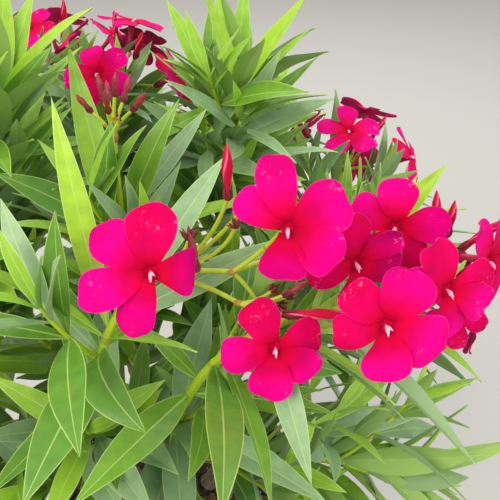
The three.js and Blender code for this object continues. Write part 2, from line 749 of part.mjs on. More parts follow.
function potSolid() {
  const outer = (z) => mix(POT.footRadius, POT.rimRadius, z / POT.height);
  const shoulder = POT.height - POT.bandHeight;
  const profile = [
    [0, 0],
    [outer(0), 0],
    [outer(shoulder), shoulder],
    [outer(shoulder) + POT.bandProud, shoulder + 2],
    [outer(POT.height) + POT.bandProud, POT.height],
    [outer(POT.height) - POT.lip, POT.height],
    [outer(shoulder) - POT.wall, shoulder],
    [outer(POT.floor) - POT.wall, POT.floor],
    [0, POT.floor],
  ];
  const turned = new THREE.LatheGeometry(
    profile.map(([radius, z]) => new THREE.Vector2(radius, z)),
    POT.sides,
  ).rotateX(Math.PI / 2);
  let pot = solidOfGeometry(turned);
  for (let i = 0; i < DRAIN.count; i++) {
    const turn = (i / DRAIN.count) * 2 * Math.PI;
    const hole = new THREE.CylinderGeometry(DRAIN.radius, DRAIN.radius, POT.floor * 4, DRAIN.sides)
      .rotateX(Math.PI / 2)
      .translate(DRAIN.ring * Math.cos(turn), DRAIN.ring * Math.sin(turn), 0);
    pot = pot.subtract(solidOfGeometry(hole));
  }
  return pot;
}

function soilSolid() {
  const inner = (z) => mix(POT.footRadius, POT.rimRadius, z / POT.height) - POT.wall - GAP;
  const bottom = POT.floor + GAP;
  const turned = new THREE.LatheGeometry(
    [
      new THREE.Vector2(0, bottom),
      new THREE.Vector2(inner(bottom), bottom),
      new THREE.Vector2(inner(SOIL_TOP - 2) - 0.4, SOIL_TOP - 2),
      new THREE.Vector2(inner(SOIL_TOP) - 5, SOIL_TOP),
      new THREE.Vector2(0, SOIL_TOP),
    ],
    POT.sides,
  ).rotateX(Math.PI / 2);
  return solidOfGeometry(turned);
}

// A three.js geometry as a solid: corners at one place become one corner.
function solidOfGeometry(geometry) {
  const position = geometry.attributes.position;
  const order = geometry.index ? [...geometry.index.array] : [...Array(position.count).keys()];
  const known = new Map();
  const points = [];
  const corner = (i) => {
    const p = vec(position.getX(i), position.getY(i), position.getZ(i));
    const key = [p.x, p.y, p.z].map((value) => Math.round(value * 1000)).join(' ');
    if (!known.has(key)) {
      known.set(key, points.length);
      points.push(p);
    }
    return known.get(key);
  };
  const faces = [];
  for (let i = 0; i < order.length; i += 3) {
    const face = [corner(order[i]), corner(order[i + 1]), corner(order[i + 2])];
    if (new Set(face).size === 3) faces.push(face);
  }
  return solidFrom(points, faces);
}

// A bough, cut clear of its cane and of the boughs before it at the same fork.
function boughSolids(plant) {
  return plant.shoots.map((shoot, own) => {
    const limb = (other, swell) => limbAlong(other.curve, 0, other.bare, BOUGH, swell);
    const earlier = plant.shoots.filter((other, i) => i < own && other.cane === shoot.cane);
    const cutters = [caneSolid(plant.canes[shoot.cane], GAP), ...earlier.map((other) => limb(other, GAP))];
    return largestBody(limb(shoot, 0).subtract(Manifold.union(cutters)));
  });
}

// Materials

const finish = (color, roughness, metalness = 0) =>
  new THREE.MeshStandardMaterial({ color, roughness, metalness });

const POT_PLASTIC = finish(0x2b2d30, 0.55);
const POTTING_SOIL = finish(0x3a2a1e, 0.95);
const CANE_BARK = finish(0x8a8468, 0.8);
const GREEN_BARK = finish(0x8fae3c, 0.6);
const FOLIAGE = finish(0x5f9a2c, 0.45);
const FLOWERING = finish(0x9c6a4a, 0.5);

function build() {
  const plant = grow();
  const group = new THREE.Group();
  const add = (name, solid, material) => {
    const mesh = new THREE.Mesh(geometryFrom(solid), material);
    mesh.name = name;
    group.add(mesh);
  };
  add('pot', potSolid(), POT_PLASTIC);
  add('potting_soil', soilSolid(), POTTING_SOIL);
  plant.canes.forEach((curve, i) => add(`cane_${CANES[i].name}`, caneSolid(curve), CANE_BARK));
  const label = (i) => String(i + 1).padStart(2, '0');
  boughSolids(plant).forEach((solid, i) => add(`bough_${label(i)}`, solid, GREEN_BARK));
  plant.shoots.forEach((shoot, i) => {
    const material = shoot.blooms.length ? FLOWERING : FOLIAGE;
    add(`shoot_${label(i)}`, shootSolid(shoot), material);
  });
  return group;
}

export default build();
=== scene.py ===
"""Looks of a flowering oleander in its nursery pot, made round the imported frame.

The growth rule is the one that gave the solids their shape, followed again in finer detail.
It counts in millimetres and every mesh is made in metres.
"""

import math
from types import SimpleNamespace

import bpy
import numpy as np
from bpy.props import FloatProperty, FloatVectorProperty, IntProperty, PointerProperty
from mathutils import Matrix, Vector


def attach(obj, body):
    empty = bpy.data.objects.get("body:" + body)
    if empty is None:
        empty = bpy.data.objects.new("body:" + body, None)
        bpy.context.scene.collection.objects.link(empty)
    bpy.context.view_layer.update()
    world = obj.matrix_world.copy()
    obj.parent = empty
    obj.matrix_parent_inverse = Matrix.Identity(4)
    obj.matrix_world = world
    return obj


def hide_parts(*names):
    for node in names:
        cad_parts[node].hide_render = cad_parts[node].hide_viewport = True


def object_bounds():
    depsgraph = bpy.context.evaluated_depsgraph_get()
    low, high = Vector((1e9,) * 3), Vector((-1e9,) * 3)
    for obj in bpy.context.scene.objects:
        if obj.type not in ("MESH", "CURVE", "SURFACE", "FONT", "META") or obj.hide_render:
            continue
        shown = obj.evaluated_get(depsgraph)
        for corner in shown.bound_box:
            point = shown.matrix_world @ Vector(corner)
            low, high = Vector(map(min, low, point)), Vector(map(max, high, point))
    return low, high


bl_info = {
    "name": "Potted oleander",
    "version": (1, 0, 0),
    "blender": (4, 5, 0),
    "location": "3D View > Sidebar > Oleander",
    "description": "Makes the pot, soil, bark, leaves, flowers and studio of a potted oleander",
    "category": "Object",
}

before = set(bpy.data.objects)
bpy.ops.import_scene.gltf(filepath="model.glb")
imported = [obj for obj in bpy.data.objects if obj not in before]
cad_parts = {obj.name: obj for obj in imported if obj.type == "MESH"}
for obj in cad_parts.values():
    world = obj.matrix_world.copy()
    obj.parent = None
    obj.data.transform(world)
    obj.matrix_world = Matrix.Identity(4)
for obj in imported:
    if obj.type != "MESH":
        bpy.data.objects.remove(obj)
CAD_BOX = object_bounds()

MM = 0.001  # one millimetre in metres
UP = np.array([0, 0, 1.0])
BLACK = (0, 0, 0, 1)
WHITE = (1, 1, 1, 1)

# Driving dimensions, in millimetres and degrees

GAP = 0.35

POT = SimpleNamespace(
    height=200, foot_radius=82, rim_radius=112, band_height=24, band_proud=4,
    lip=3, wall=2.5, floor=4, recess=1.6, foot_ring=5, groove=0.9, rounding=1.6,
    small_rounding=1.4, sides=120,
)
DRAIN = SimpleNamespace(count=5, radius=6, ring=56, sides=20)
SOIL_TOP = POT.height - 22
# The soil's top: rings and corners, how far it lies under its level and dips at the wall, and
# the height, the width and the seed of its lumps
SOIL = SimpleNamespace(rings=30, sides=96, sunk=1.6, dip=2.2)
SOIL_LUMPS = [(1.5, 9, 0.0), (0.9, 3.4, 2.0), (0.5, 1.6, 5.0)]

CANE = SimpleNamespace(
    ring=34, foot_radius=6.2, top_radius=4.6, flare=1.45, flare_height=14,
    flare_power=1.6, scars=17, scar_height=0.07, scar_width=0.93, below_soil=3,
)
# The low collars where leaves stand or stood, as shares of the limb's radius, and where the
# finish changes
COLLAR = SimpleNamespace(length=0.9, height=0.2, share=1.2)
BOUGH = SimpleNamespace(radius=3.6, tip_radius=3.0)
STEM = SimpleNamespace(radius=2.9, tip_radius=1.8)

LEAF = SimpleNamespace(
    length=104, width=21, per_whorl=3, young=0.72, top=0.84, shorter=0.96,
    low_width=1.05, top_width=0.88,
)
# How far each leaf may stray from the rule: shares of its length and width, or degrees
STRAY = SimpleNamespace(
    turn=(-8, 8), rise=(-7, 7), bend=(-6, 10), length=(0.88, 1.1), width=(0.88, 1.12),
    twist=(-24, 24), whorl=(-9, 9),
)
WHORL_TURN = 60
LEAF_RISE = SimpleNamespace(low=74, high=24, under_flowers=56)
LEAF_BEND = SimpleNamespace(low=34, high=12)
LEAF_TRIES = [1, 0.8, 1.2, 0.62, 1.4, 0.46]

ROOM = SimpleNamespace(
    over=24, leaf=1.2, limb=2, stalk=1, disc=7, rim=2, tube=5, over_pot=12,
)
# Corners round each kind of limb and rings along it
LIMB_GRID = SimpleNamespace(cane=(16, 70), bough=(14, 44), stem=(12, 64), twig=(8, 16), stalk=(8, 30))
LEAF_CHAIN = np.array([0.15, 0.3, 0.45, 0.6, 0.72, 0.84, 0.93, 1])

FLOWER = SimpleNamespace(radius=23.5, tube=21, petals=5)
BUD = SimpleNamespace(length=23, radius=2.7, twist=150, small=0.7, withered=0.6)
STALK = SimpleNamespace(
    radius=0.95, tip_radius=0.8, away=0.45, hub_share=0.8, fork_swelling=1.5,
    hub_swelling=2.448,
)
# Each cane: its name, the turn of its foot and the ring that the foot stands on, and the turn,
# the distance and the height of its fork.
CANES = [
    ("front_left", -118, CANE.ring, -100, 82, 330),
    ("front_right", -62, CANE.ring, -74, 87, 345),
    ("right", 0, CANE.ring, 0, 76, 330),
    ("back_right", 60, CANE.ring, 62, 80, 340),
    ("back_left", 122, CANE.ring, 124, 86, 350),
    ("left", 180, CANE.ring, -176, 74, 340),
    ("middle", -90, 2, -98, 24, 335),
]


def evenly(count, low, high):
    return [low + (high - low) * i / (count - 1) for i in range(count)]


# Each shoot: its cane, its tip, the bare share of the limb, how strongly the limb keeps the
# cane's direction, the shares where its whorls sit, the turn of the first one, and its top.
SHOOTS = [
    (0, (30, -92, 530), 0.14, 0.98, [0.18, 0.27, 0.58, 0.67], 145, "front_left"),
    (1, (145, -85, 505), 0.1, 1.1, [0.14, 0.23, 0.49, 0.57, 0.82], 20, "front_right"),
    (6, (3, -25, 570), 0.2, 0.4, evenly(7, 0.26, 0.84), 52, "buds"),
    (3, (66, 62, 560), 0.3, 0.5, evenly(7, 0.38, 0.985), 30, "leaves"),
    (5, (-62, 0, 585), 0.28, 0.6, evenly(8, 0.36, 0.985), 80, "leaves"),
    (5, (-88, -62, 528), 0.32, 0.5, evenly(6, 0.4, 0.985), 10, "leaves"),
    (2, (142, -22, 488), 0.34, 0.5, evenly(5, 0.42, 0.985), 60, "leaves"),
    (2, (152, 98, 480), 0.36, 0.5, evenly(5, 0.44, 0.9), 0, "flowers"),
    (4, (-86, 182, 528), 0.36, 0.5, evenly(6, 0.44, 0.9), 100, "flowers"),
    (4, (-22, 108, 545), 0.32, 0.5, evenly(6, 0.4, 0.9), 40, "flowers"),
    (0, (-112, -134, 440), 0.36, 0.4, evenly(5, 0.44, 0.9), 90, "flowers"),
    (1, (166, -112, 398), 0.4, 0.4, evenly(5, 0.46, 0.985), 70, "leaves"),
    (3, (78, 184, 500), 0.38, 0.5, evenly(6, 0.44, 0.9), 15, "buds"),
    (4, (-172, 84, 490), 0.4, 0.5, evenly(6, 0.46, 0.9), 55, "flowers"),
    (5, (-188, -46, 450), 0.4, 0.45, evenly(5, 0.46, 0.985), 25, "leaves"),
    (2, (200, 16, 415), 0.4, 0.4, evenly(5, 0.46, 0.9), 110, "flowers"),
    (0, (-34, -176, 372), 0.42, 0.2, evenly(4, 0.5, 0.985), 0, "leaves"),
    (3, (-12, 206, 432), 0.4, 0.45, evenly(5, 0.46, 0.985), 85, "leaves"),
    (1, (82, -184, 388), 0.42, 0.2, evenly(4, 0.5, 0.985), 50, "leaves"),
    (6, (66, -26, 470), 0.3, 0.12, evenly(5, 0.36, 0.985), 35, "leaves"),
    (6, (-54, -58, 448), 0.34, 0.12, evenly(4, 0.42, 0.985), 75, "leaves"),
]

# The front clusters: the middle of each face from the shoot's tip, the way it looks (turn and
# rise), its roll, and its petals: how each bends back, folds and turns aside, in degrees, with
# its length, width and colour. Stalks that part again start at a fork, not at the shoot's tip.
FRONT_FORKS = {"front_left": [(37, -7, 9), (40, -18, 0)], "front_right": []}
# The rose colour of a petal is the redder copy of the petal colour: painted shade for a petal that lies in
# shade.
FRONT_BLOOMS = {
    "front_left": [
        ((7, -38, 35), -84, 28, 8, None, [
            (84, -44, -8, 1.04, 1.2, "outer"), (8, 22, 10, 1.12, 1.16, "rose"),
            (10, 16, -10, 1.12, 1.04, "outer"), (4, 12, -22, 1.26, 0.98, "outer"),
            (24, 50, -43, 1.26, 1.02, "outer"),
        ]),
        ((59, -33, 52), -92, 30, 26, 0, [
            (14, 16, 5, 1.08, 1.2, "outer"), (2, 14, 8, 1.2, 0.88, "outer"),
            (22, 30, -20, 0.98, 0.84, "outer"), (46, -26, 24, 0.98, 1.08, "outer"),
            (16, -20, 16, 1.0, 1.1, "outer"),
        ]),
        ((92, -14, 19), -70, 12, 50, 0, [
            (-34, -40, -5, 0.95, 0.9, "outer"), (10, 10, -16, 1.0, 1.0, "rose"),
            (16, 24, -2, 1.0, 0.95, "rose"), (34, 26, 20, 0.94, 1.15, "rose"),
            (10, 8, 10, 1.0, 1.0, "outer"),
        ]),
        ((56, -40, -6), -86, 32, 20, 0, [
            (24, 30, 2, 0.92, 1.0, "rose"), (10, 12, 27, 0.98, 1.0, "rose"),
            (12, 20, 28, 1.02, 0.94, "outer"), (16, 8, 30, 1.0, 1.12, "outer"),
            (6, 20, 22, 0.9, 0.96, "outer"),
        ]),
    ],
    "front_right": [
        ((-17, -56, 42), -88, 30, 2, None, [
            (10, 20, -22, 1.06, 1.36, "outer"), (6, -22, -7, 1.04, 1.3, "outer"),
            (14, 10, -8, 0.96, 0.94, "rose"), (20, 40, -24, 0.92, 0.9, "rose"),
            (12, 12, -14, 1.0, 1.16, "outer"),
        ]),
        ((16, -30, 37), -70, 26, 30, None, [
            (10, 10, -16, 1.02, 1.16, "rose"), (12, 20, 12, 0.98, 1.1, "rose"),
            (14, 8, 2, 1.0, 1.0, "outer"), (22, 30, 30, 1.04, 1.05, "outer"),
            (8, -20, 22, 1.0, 1.0, "outer"),
        ]),
        ((42, -8, 35), -48, 20, 64, None, None),
        ((-2, 4, 46), -96, 30, 12, None, None),
    ],
}
FRONT_BUDS = {
    "front_left": [
        ((36, -9, 50), 90, 80, 1.0, None),
        ((41, -1, 38), 40, 60, 0.5, None),
        ((60, -26, 1), -4, 4, 1.25, 1),
        ((60, -18, 5), 10, 30, 0.55, 1),
    ],
    "front_right": [
        ((19, 8, 40), 120, 76, 0.95, None),
        ((26, 10, 37), 80, 78, 0.8, None),
        ((33, 8, 30), 14, 34, 1.15, None),
        ((-4, -12, 30), 60, 50, 0.55, None),
    ],
}
# Withered calyces and a late bud, which only the looks have, in the same form as the buds
SPENT = {
    "front_left": [
        ((55, -12, 2), 30, 26, 0.42, 1),
        ((58, -15, -4), -30, 8, 0.4, 1),
        ((62, -14, 0), -8, 34, 0.36, 1),
        ((17, 5, 19), 96, 56, 0.5, None),
        ((39, -5, 33), 150, 60, 0.36, None),
        ((23, -22, 23), 109, 50, 0.69, None),
    ],
    "front_right": [
        ((-8, -22, 28), 200, 56, 0.45, None),
        ((6, -8, 26), 130, 70, 0.4, None),
        ((-12, -30, 22), 230, 20, 0.38, None),
    ],
}

# The leaves that show most in front: their shoot, the share of it where they start, the tip,
# the width, how far they arch, how their upper side turns from the front, and their tint.
# The grey tint is a painted reflection of the sky on the leaves' waxy upper sides.
FRONT_LEAVES = [
    (0, 0.7, (-12, -59, 606), 13, 14, 8, "young"),
    (2, 0.7, (-26, 20, 605), 18.5, 12, 0, "fresh"),
    (2, 0.78, (37, -6, 583), 18.5, 26, -14, "mid"),
    (2, 0.82, (50, 17, 568), 12.5, 16, 20, "grey"),
    (0, 0.86, (62, -27, 560), 15, 18, 0, "grey"),
    (0, 0.76, (92, -69, 536), 15, 14, 0, "grey"),
    (0, 0.6, (-15, -181, 487), 24, 24, 6, "deep"),
    (0, 0.61, (32, -156, 499), 21, 90, 0, "deep"),
    (0, 0.6, (-42, -83, 534), 12, 20, 10, "grey"),
    (1, 0.42, (23, -103, 508), 9, 18, 30, "mid"),
    (1, 0.68, (102, -164, 472), 15.5, 20, 0, "grey"),
    (19, 0.7, (28, -88, 368), 15, 20, 0, "grey"),
]
FRONT = np.array([0, -0.79, 0.61])  # the way their upper sides look

# Leaves in front of the flowers that stay short: their shoot, spray and number in it, with the
# share of the length that the rule gives.
SHORT_LEAVES = {(0, 9, 0): 0.72, (1, 9, 0): 0.5}

CLUSTER = SimpleNamespace(
    ring=4, reach=50, top_spread=8, ring_spread=62,
    buds=3, bud_spread=36, bud_reach=36,
)
BUD_CLUSTER = SimpleNamespace(
    buds=7, reach=24, top_spread=8, spread=48, golden_turn=137.5, size=0.62,
)
SEEDS = SimpleNamespace(
    shoots=4100, between=4600, twigs=5000, leaves=7000, stalks=8000, flowers=9000,
)

# Finer growth that only the looks have: whorls between the whorls, and side twigs
FINER = SimpleNamespace(
    length=0.86, chance=0.85, twig_length=(34, 54), twig_radius=1.3, twig_turn=143,
    twig_whorls=(0.5, 0.8, 0.99), twig_leaves=(0.74, 0.66, 0.5), fewest_leaves=3,
    outer_links=3, own_share=0.7, own_gap=1.5,
)


def mix(a, b, share):
    return a + (b - a) * share


# Growth: the rule of the solids

def seeded(seed):
    state = seed

    def draw(low=0.0, high=1.0):
        nonlocal state
        state = (state * 1664525 + 1013904223) % 4294967296
        return low + (high - low) * state / 4294967296

    return draw


def unit(vector):
    return vector / np.linalg.norm(vector)


def aim(turn, rise):
    turn, rise = math.radians(turn), math.radians(rise)
    flat = math.cos(rise)
    return np.array([flat * math.cos(turn), flat * math.sin(turn), math.sin(rise)])


def across(direction):
    """Two directions square to a given one."""
    first = unit(np.array([1.0, 0, 0]) - direction * direction[0])
    return first, np.cross(direction, first)


def turns_of(sides):
    """The angle of each corner of a ring."""
    return np.arange(sides) / sides * 2 * math.pi


def circle(angles, right, ahead):
    return np.outer(np.cos(angles), right) + np.outer(np.sin(angles), ahead)


def leaning(heading, spread, turn):
    """A direction leaning away from a heading by a spread, towards a turn about it."""
    right, ahead = across(heading)
    spread, turn = math.radians(spread), math.radians(turn)
    sideways = right * math.cos(turn) + ahead * math.sin(turn)
    return heading * math.cos(spread) + sideways * math.sin(spread)


def lifted(direction, rise):
    return unit(direction + UP * rise)


def point_at(curve, share):
    """A point of a curve that three places steer, at a share of its way."""
    share = np.asarray(share, float)[..., None]
    a, b, c = curve
    return a * (1 - share) ** 2 + b * 2 * share * (1 - share) + c * share**2


def heading_at(curve, share):
    share = np.asarray(share, float)
    step = point_at(curve, np.minimum(share + 1e-4, 1)) - point_at(curve, np.maximum(share - 1e-4, 0))
    return step / np.linalg.norm(step, axis=-1, keepdims=True)


def spine(curve, start, end, steps):
    return point_at(curve, np.linspace(start, end, steps + 1))


def cane_curve(foot_turn, ring, turn, reach, height):
    foot = aim(foot_turn, 0) * ring
    fork = aim(turn, 0) * reach
    foot[2] = SOIL_TOP + GAP
    fork[2] = height
    middle = mix(foot, fork, 0.6)
    middle[2] = mix(foot[2], fork[2], 0.5)
    return np.array([foot, middle, fork])


def shoot_curve(tip, arch, cane):
    start = cane[2]
    tip = np.array(tip, float)
    away = np.linalg.norm(tip - start) * arch
    return np.array([start, start + heading_at(cane, 1.0) * away, tip])


def new_bud(foot, way, size, fork=None):
    """A bud or calyx: where its stalk ends, the way it points, and its stalk's fork, if any."""
    return SimpleNamespace(foot=foot, way=way, size=size, fork=fork)


def new_bloom(centre, way, roll, fork=None, petals=None):
    """An open flower, whose stalk ends at the foot of its tube."""
    foot = centre - way * FLOWER.tube
    return SimpleNamespace(centre=centre, foot=foot, way=way, roll=roll, fork=fork, petals=petals)


def new_fork(hub, at):
    """A place where a stalk parts again, itself the end of a stalk."""
    foot = hub + np.array(at, float)
    return SimpleNamespace(foot=foot, way=unit(foot - hub), fork=None)


def ruled_cluster(hub, heading, draw):
    step = 360 / CLUSTER.ring
    start = draw(0, step)
    blooms = []
    for i in range(CLUSTER.ring + 1):
        spread = CLUSTER.ring_spread + draw(-7, 7) if i else CLUSTER.top_spread
        way = leaning(heading, spread, start + i * step + draw(-8, 8))
        reach = CLUSTER.reach * draw(0.9, 1.1)
        blooms.append(new_bloom(hub + way * reach, lifted(way, 0.25), draw(0, 72)))
    buds = []
    for i in range(CLUSTER.buds):
        way = leaning(heading, CLUSTER.bud_spread, start + (i * 2 + 0.5) * step)
        foot = hub + way * (CLUSTER.bud_reach * draw(0.85, 1.15))
        buds.append(new_bud(foot, lifted(way, 0.3), draw(0.6, 1.1)))
    return {"blooms": blooms, "buds": buds}


def bud_cluster(hub, heading, draw):
    buds = []
    count = BUD_CLUSTER.buds
    for i in range(count):
        spread = mix(BUD_CLUSTER.top_spread, BUD_CLUSTER.spread, i / (count - 1))
        way = leaning(heading, spread, i * BUD_CLUSTER.golden_turn)
        foot = hub + way * (BUD_CLUSTER.reach * draw(0.6, 1))
        buds.append(new_bud(foot, way, BUD_CLUSTER.size * draw(0.7, 1.1)))
    return {"buds": buds}


def listed_cluster(name, hub):
    forks = {i: new_fork(hub, at) for i, at in enumerate(FRONT_FORKS[name])}

    def placed(make, rows):
        return [
            make(hub + np.array(at, float), aim(turn, rise), value, forks.get(fork), *rest)
            for at, turn, rise, value, fork, *rest in rows[name]
        ]

    return {
        "forks": [*forks.values()], "blooms": placed(new_bloom, FRONT_BLOOMS),
        "buds": placed(new_bud, FRONT_BUDS), "spent": placed(new_bud, SPENT),
    }


def cluster_of(top, hub, draw):
    heading = lifted(hub.way, 0.5)
    if top == "flowers":
        return ruled_cluster(hub.foot, heading, draw)
    if top == "buds":
        return bud_cluster(hub.foot, heading, draw)
    if top == "leaves":
        return {}
    return listed_cluster(top, hub.foot)


def stalk_curve(shoot, end):
    """A stalk leaves the hub, or a fork, the way that points and arrives at its end from behind."""
    start = end.fork or shoot.hub
    away = np.linalg.norm(start.foot - end.foot) * STALK.away
    leaving = start.foot + start.way * away * STALK.hub_share
    return np.array([start.foot, mix(leaving, end.foot - end.way * away, 0.5), end.foot])


def bud_point(bud, share):
    return bud.foot + bud.way * (BUD.length * bud.size * share)


def listed_leaf(at, tip, width, bend, turn, tint_name, shoot):
    """A listed leaf arches evenly from where it starts on its shoot to its tip."""
    root = point_at(shoot.curve, at)
    stem = np.array(tip, float) - root
    half = math.radians(bend) / 2
    length = np.linalg.norm(stem) * half / math.sin(half)
    stem = unit(stem)
    out = -unit(FRONT - stem * FRONT.dot(stem))
    turn = math.radians(turn)
    out = out * math.cos(turn) + np.cross(stem, out) * math.sin(turn)
    return SimpleNamespace(
        root=root, stem=stem, out=out, rise=-half, bend=2 * half, length=length, width=width,
        twist=0.0, up=0.5, young=False, tint=tint_name,
    )


def leaf_shape(along):
    """The outline that the rule tests: half a leaf's width along its length."""
    along = np.asarray(along, float)
    blade = np.sin(np.pi * np.clip(along, 0, 1) ** 0.92).clip(0) ** 0.85
    shape = np.maximum(blade, np.where(along < 0.1, 0.14, 0))
    return np.where(along >= 1, 0, shape)


def leaf_frames(leaf, along):
    """Place, heading, upper side and width direction of a leaf at shares of its length."""
    along = np.asarray(along, float)[:, None]
    start, bend = leaf.rise, leaf.bend
    now = start + bend * along
    forward = (np.sin(now) - math.sin(start)) / bend * leaf.length
    outward = (math.cos(start) - np.cos(now)) / bend * leaf.length
    stem, out = leaf.stem, leaf.out
    place = leaf.root + stem * forward + out * outward
    heading = stem * np.cos(now) + out * np.sin(now)
    upper = stem * np.sin(now) - out * np.cos(now)
    side = np.cross(heading, upper)
    turn = leaf.twist * along
    tilted = upper * np.cos(turn) + side * np.sin(turn)
    return place, heading, tilted, side * np.cos(turn) - upper * np.sin(turn)


class Room:
    """What leaves keep clear of: the limbs, the blooms and the leaves grown so far."""

    def __init__(self, canes, shoots):
        self.axis_start = np.array([s.axis[:-1] for s in shoots])
        self.axis_end = np.array([s.axis[1:] for s in shoots])
        runs = [(-1, spine(curve, 0, 1, 6), CANE.foot_radius + ROOM.limb) for curve in canes]
        for i, shoot in enumerate(shoots):
            runs.append((-1, spine(shoot.curve, 0, shoot.bare, 4), BOUGH.radius + ROOM.limb))
            runs.append((i, shoot.axis, STEM.radius + ROOM.limb))
            for end in [*shoot.blooms, *shoot.forks]:
                run = spine(stalk_curve(shoot, end), 0, 1, 2)
                runs.append((-1, run, STALK.radius + ROOM.stalk))
            for bud in shoot.buds:
                run = spine(stalk_curve(shoot, bud), 0, 1, 2)
                runs.append((-1, np.vstack([run, bud_point(bud, 1)]), BUD.radius))
        self.limb_owner = np.concatenate([[owner] * (len(run) - 1) for owner, run, _ in runs])
        self.limb_start = np.vstack([run[:-1] for _, run, _ in runs])
        self.limb_end = np.vstack([run[1:] for _, run, _ in runs])
        self.limb_reach = np.concatenate([[reach] * (len(run) - 1) for _, run, reach in runs])
        blooms = [bloom for shoot in shoots for bloom in shoot.blooms]
        self.centres = np.array([bloom.centre for bloom in blooms])
        self.faces = np.array([bloom.way for bloom in blooms])
        self.owners = np.zeros(0, int)
        self.links = np.zeros((0, 3))
        self.halves = np.zeros(0)

    @staticmethod
    def distances(points, start, end):
        """How far each point is from each straight piece of a limb."""
        run = end - start
        offset = points[:, None, :] - start[None]
        share = (offset * run).sum(-1) / (run * run).sum(-1)
        nearest = offset - share.clip(0, 1)[..., None] * run
        return np.sqrt((nearest * nearest).sum(-1))

    def points_fit(self, points, own):
        """Whether points are above the pot, in their own shoot's space and off limbs and flowers."""
        if (points[:, 2] <= POT.height + ROOM.over_pot).any():
            return False
        count, steps = self.axis_start.shape[:2]
        far = self.distances(points, self.axis_start.reshape(-1, 3), self.axis_end.reshape(-1, 3))
        far = far.reshape(len(points), count, steps).min(-1)
        others = np.delete(far, own, axis=1)
        if (others + ROOM.over <= far[:, own, None]).any():
            return False
        limbs = self.limb_owner != own
        near = self.distances(points, self.limb_start[limbs], self.limb_end[limbs])
        if (near <= self.limb_reach[limbs]).any():
            return False
        to = points[:, None, :] - self.centres[None]
        depth = (to * self.faces).sum(-1)
        off = np.sqrt(((to * to).sum(-1) - depth**2).clip(0))
        disc = (abs(depth) < ROOM.disc) & (off < FLOWER.radius + ROOM.rim)
        tube = (depth < 0) & (depth > -FLOWER.tube) & (off < ROOM.tube)
        return not (disc | tube).any()

    def leaf_fits(self, leaf, own):
        place, _, _, side = leaf_frames(leaf, LEAF_CHAIN)
        half = leaf_shape(LEAF_CHAIN) * leaf.width / 2
        edges = side * half[:, None]
        if not self.points_fit(np.vstack([place - edges, place, place + edges]), own):
            return False
        others = self.owners != own
        far = np.linalg.norm(place[:, None] - self.links[others][None], axis=-1)
        return not (far <= half[:, None] + self.halves[others] + ROOM.leaf).any()

    def crosses_own(self, leaf, own):
        """Whether the outer part of a leaf runs into the leaves of its own shoot."""
        place = leaf_frames(leaf, LEAF_CHAIN[FINER.outer_links:])[0]
        own_links = self.owners == own
        far = np.linalg.norm(place[:, None] - self.links[own_links][None], axis=-1)
        return (far < self.halves[own_links] * FINER.own_share + FINER.own_gap).any()

    def take(self, leaf, own):
        self.links = np.vstack([self.links, leaf_frames(leaf, LEAF_CHAIN)[0]])
        self.halves = np.concatenate([self.halves, leaf_shape(LEAF_CHAIN) * leaf.width / 2])
        self.owners = np.concatenate([self.owners, np.full(len(LEAF_CHAIN), own)])


def in_reach(points):
    """Whether points stay inside the box of the solids."""
    low, high = (np.array(corner) / MM for corner in CAD_BOX)
    return bool(((points > low) & (points < high)).all())


def fitted(leaf, own, room, finer):
    """The leaf at the first of the tried angles where it has room, or nothing."""
    for t, share in enumerate(LEAF_TRIES):
        tried = SimpleNamespace(**vars(leaf))
        tried.rise *= share
        tried.bend *= min(1, share)
        tried.length *= LEAF.shorter**t
        if finer and not in_reach(leaf_frames(tried, LEAF_CHAIN)[0]):
            continue
        if room.leaf_fits(tried, own) and not (finer and room.crosses_own(tried, own)):
            return tried
    return None


def grow_whorl(limb, own, room, at, up, turn, draw, share=1.0, young=False, finer=False):
    """Three leaves round the stem. Up runs from 0 at the lowest whorl to 1 at the top."""
    high = LEAF_RISE.high if limb.top == "leaves" else LEAF_RISE.under_flowers
    longer = LEAF.young if young else mix(1, LEAF.top, up)
    wider = mix(LEAF.low_width, LEAF.top_width, up)
    stem = heading_at(limb.curve, at)
    grown = []
    for i in range(LEAF.per_whorl):
        leaf = SimpleNamespace(
            root=point_at(limb.curve, at),
            stem=stem,
            out=leaning(stem, 90, turn + i * 360 / LEAF.per_whorl + draw(*STRAY.turn)),
            rise=math.radians(mix(LEAF_RISE.low, high, up**0.8) + draw(*STRAY.rise)),
            bend=math.radians(mix(LEAF_BEND.low, LEAF_BEND.high, up) + draw(*STRAY.bend)),
            length=LEAF.length * longer * draw(*STRAY.length) * share,
            width=LEAF.width * wider * draw(*STRAY.width) * share,
            twist=math.radians(draw(*STRAY.twist)),
            up=up, young=young, tint=None,
        )
        found = fitted(leaf, own, room, finer)
        if found:
            room.take(found, own)
            grown.append(found)
    return grown


def place_listed_leaves(shoot, own, room):
    for number, *listed in FRONT_LEAVES:
        if number == own:
            leaf = listed_leaf(*listed, shoot)
            room.take(leaf, -1)
            shoot.sprays.append([leaf])


def grow_stem_leaves(shoot, own, room, draw, first, **finer):
    """A whorl at each whole step up the stem or, where first is a half, between each two."""
    last = len(shoot.whorls) - 1
    for step in np.arange(first, last + 0.1).tolist():
        at = mix(shoot.whorls[math.floor(step)], shoot.whorls[math.ceil(step)], 0.5)
        turn = shoot.spin + step * WHORL_TURN + draw(*STRAY.whorl)
        young = shoot.top == "leaves" and step == last
        spray = grow_whorl(shoot, own, room, at, step / last, turn, draw, young=young, **finer)
        shoot.sprays.append(spray)


def grow_main_leaves(shoot, own, room):
    grow_stem_leaves(shoot, own, room, shoot.draw, 0)


def grow_between(shoot, own, room):
    """Whorls halfway between the first ones, turned so that they fill the gaps."""
    draw = seeded(SEEDS.between + own)
    grow_stem_leaves(shoot, own, room, draw, 0.5, share=FINER.length, finer=True)


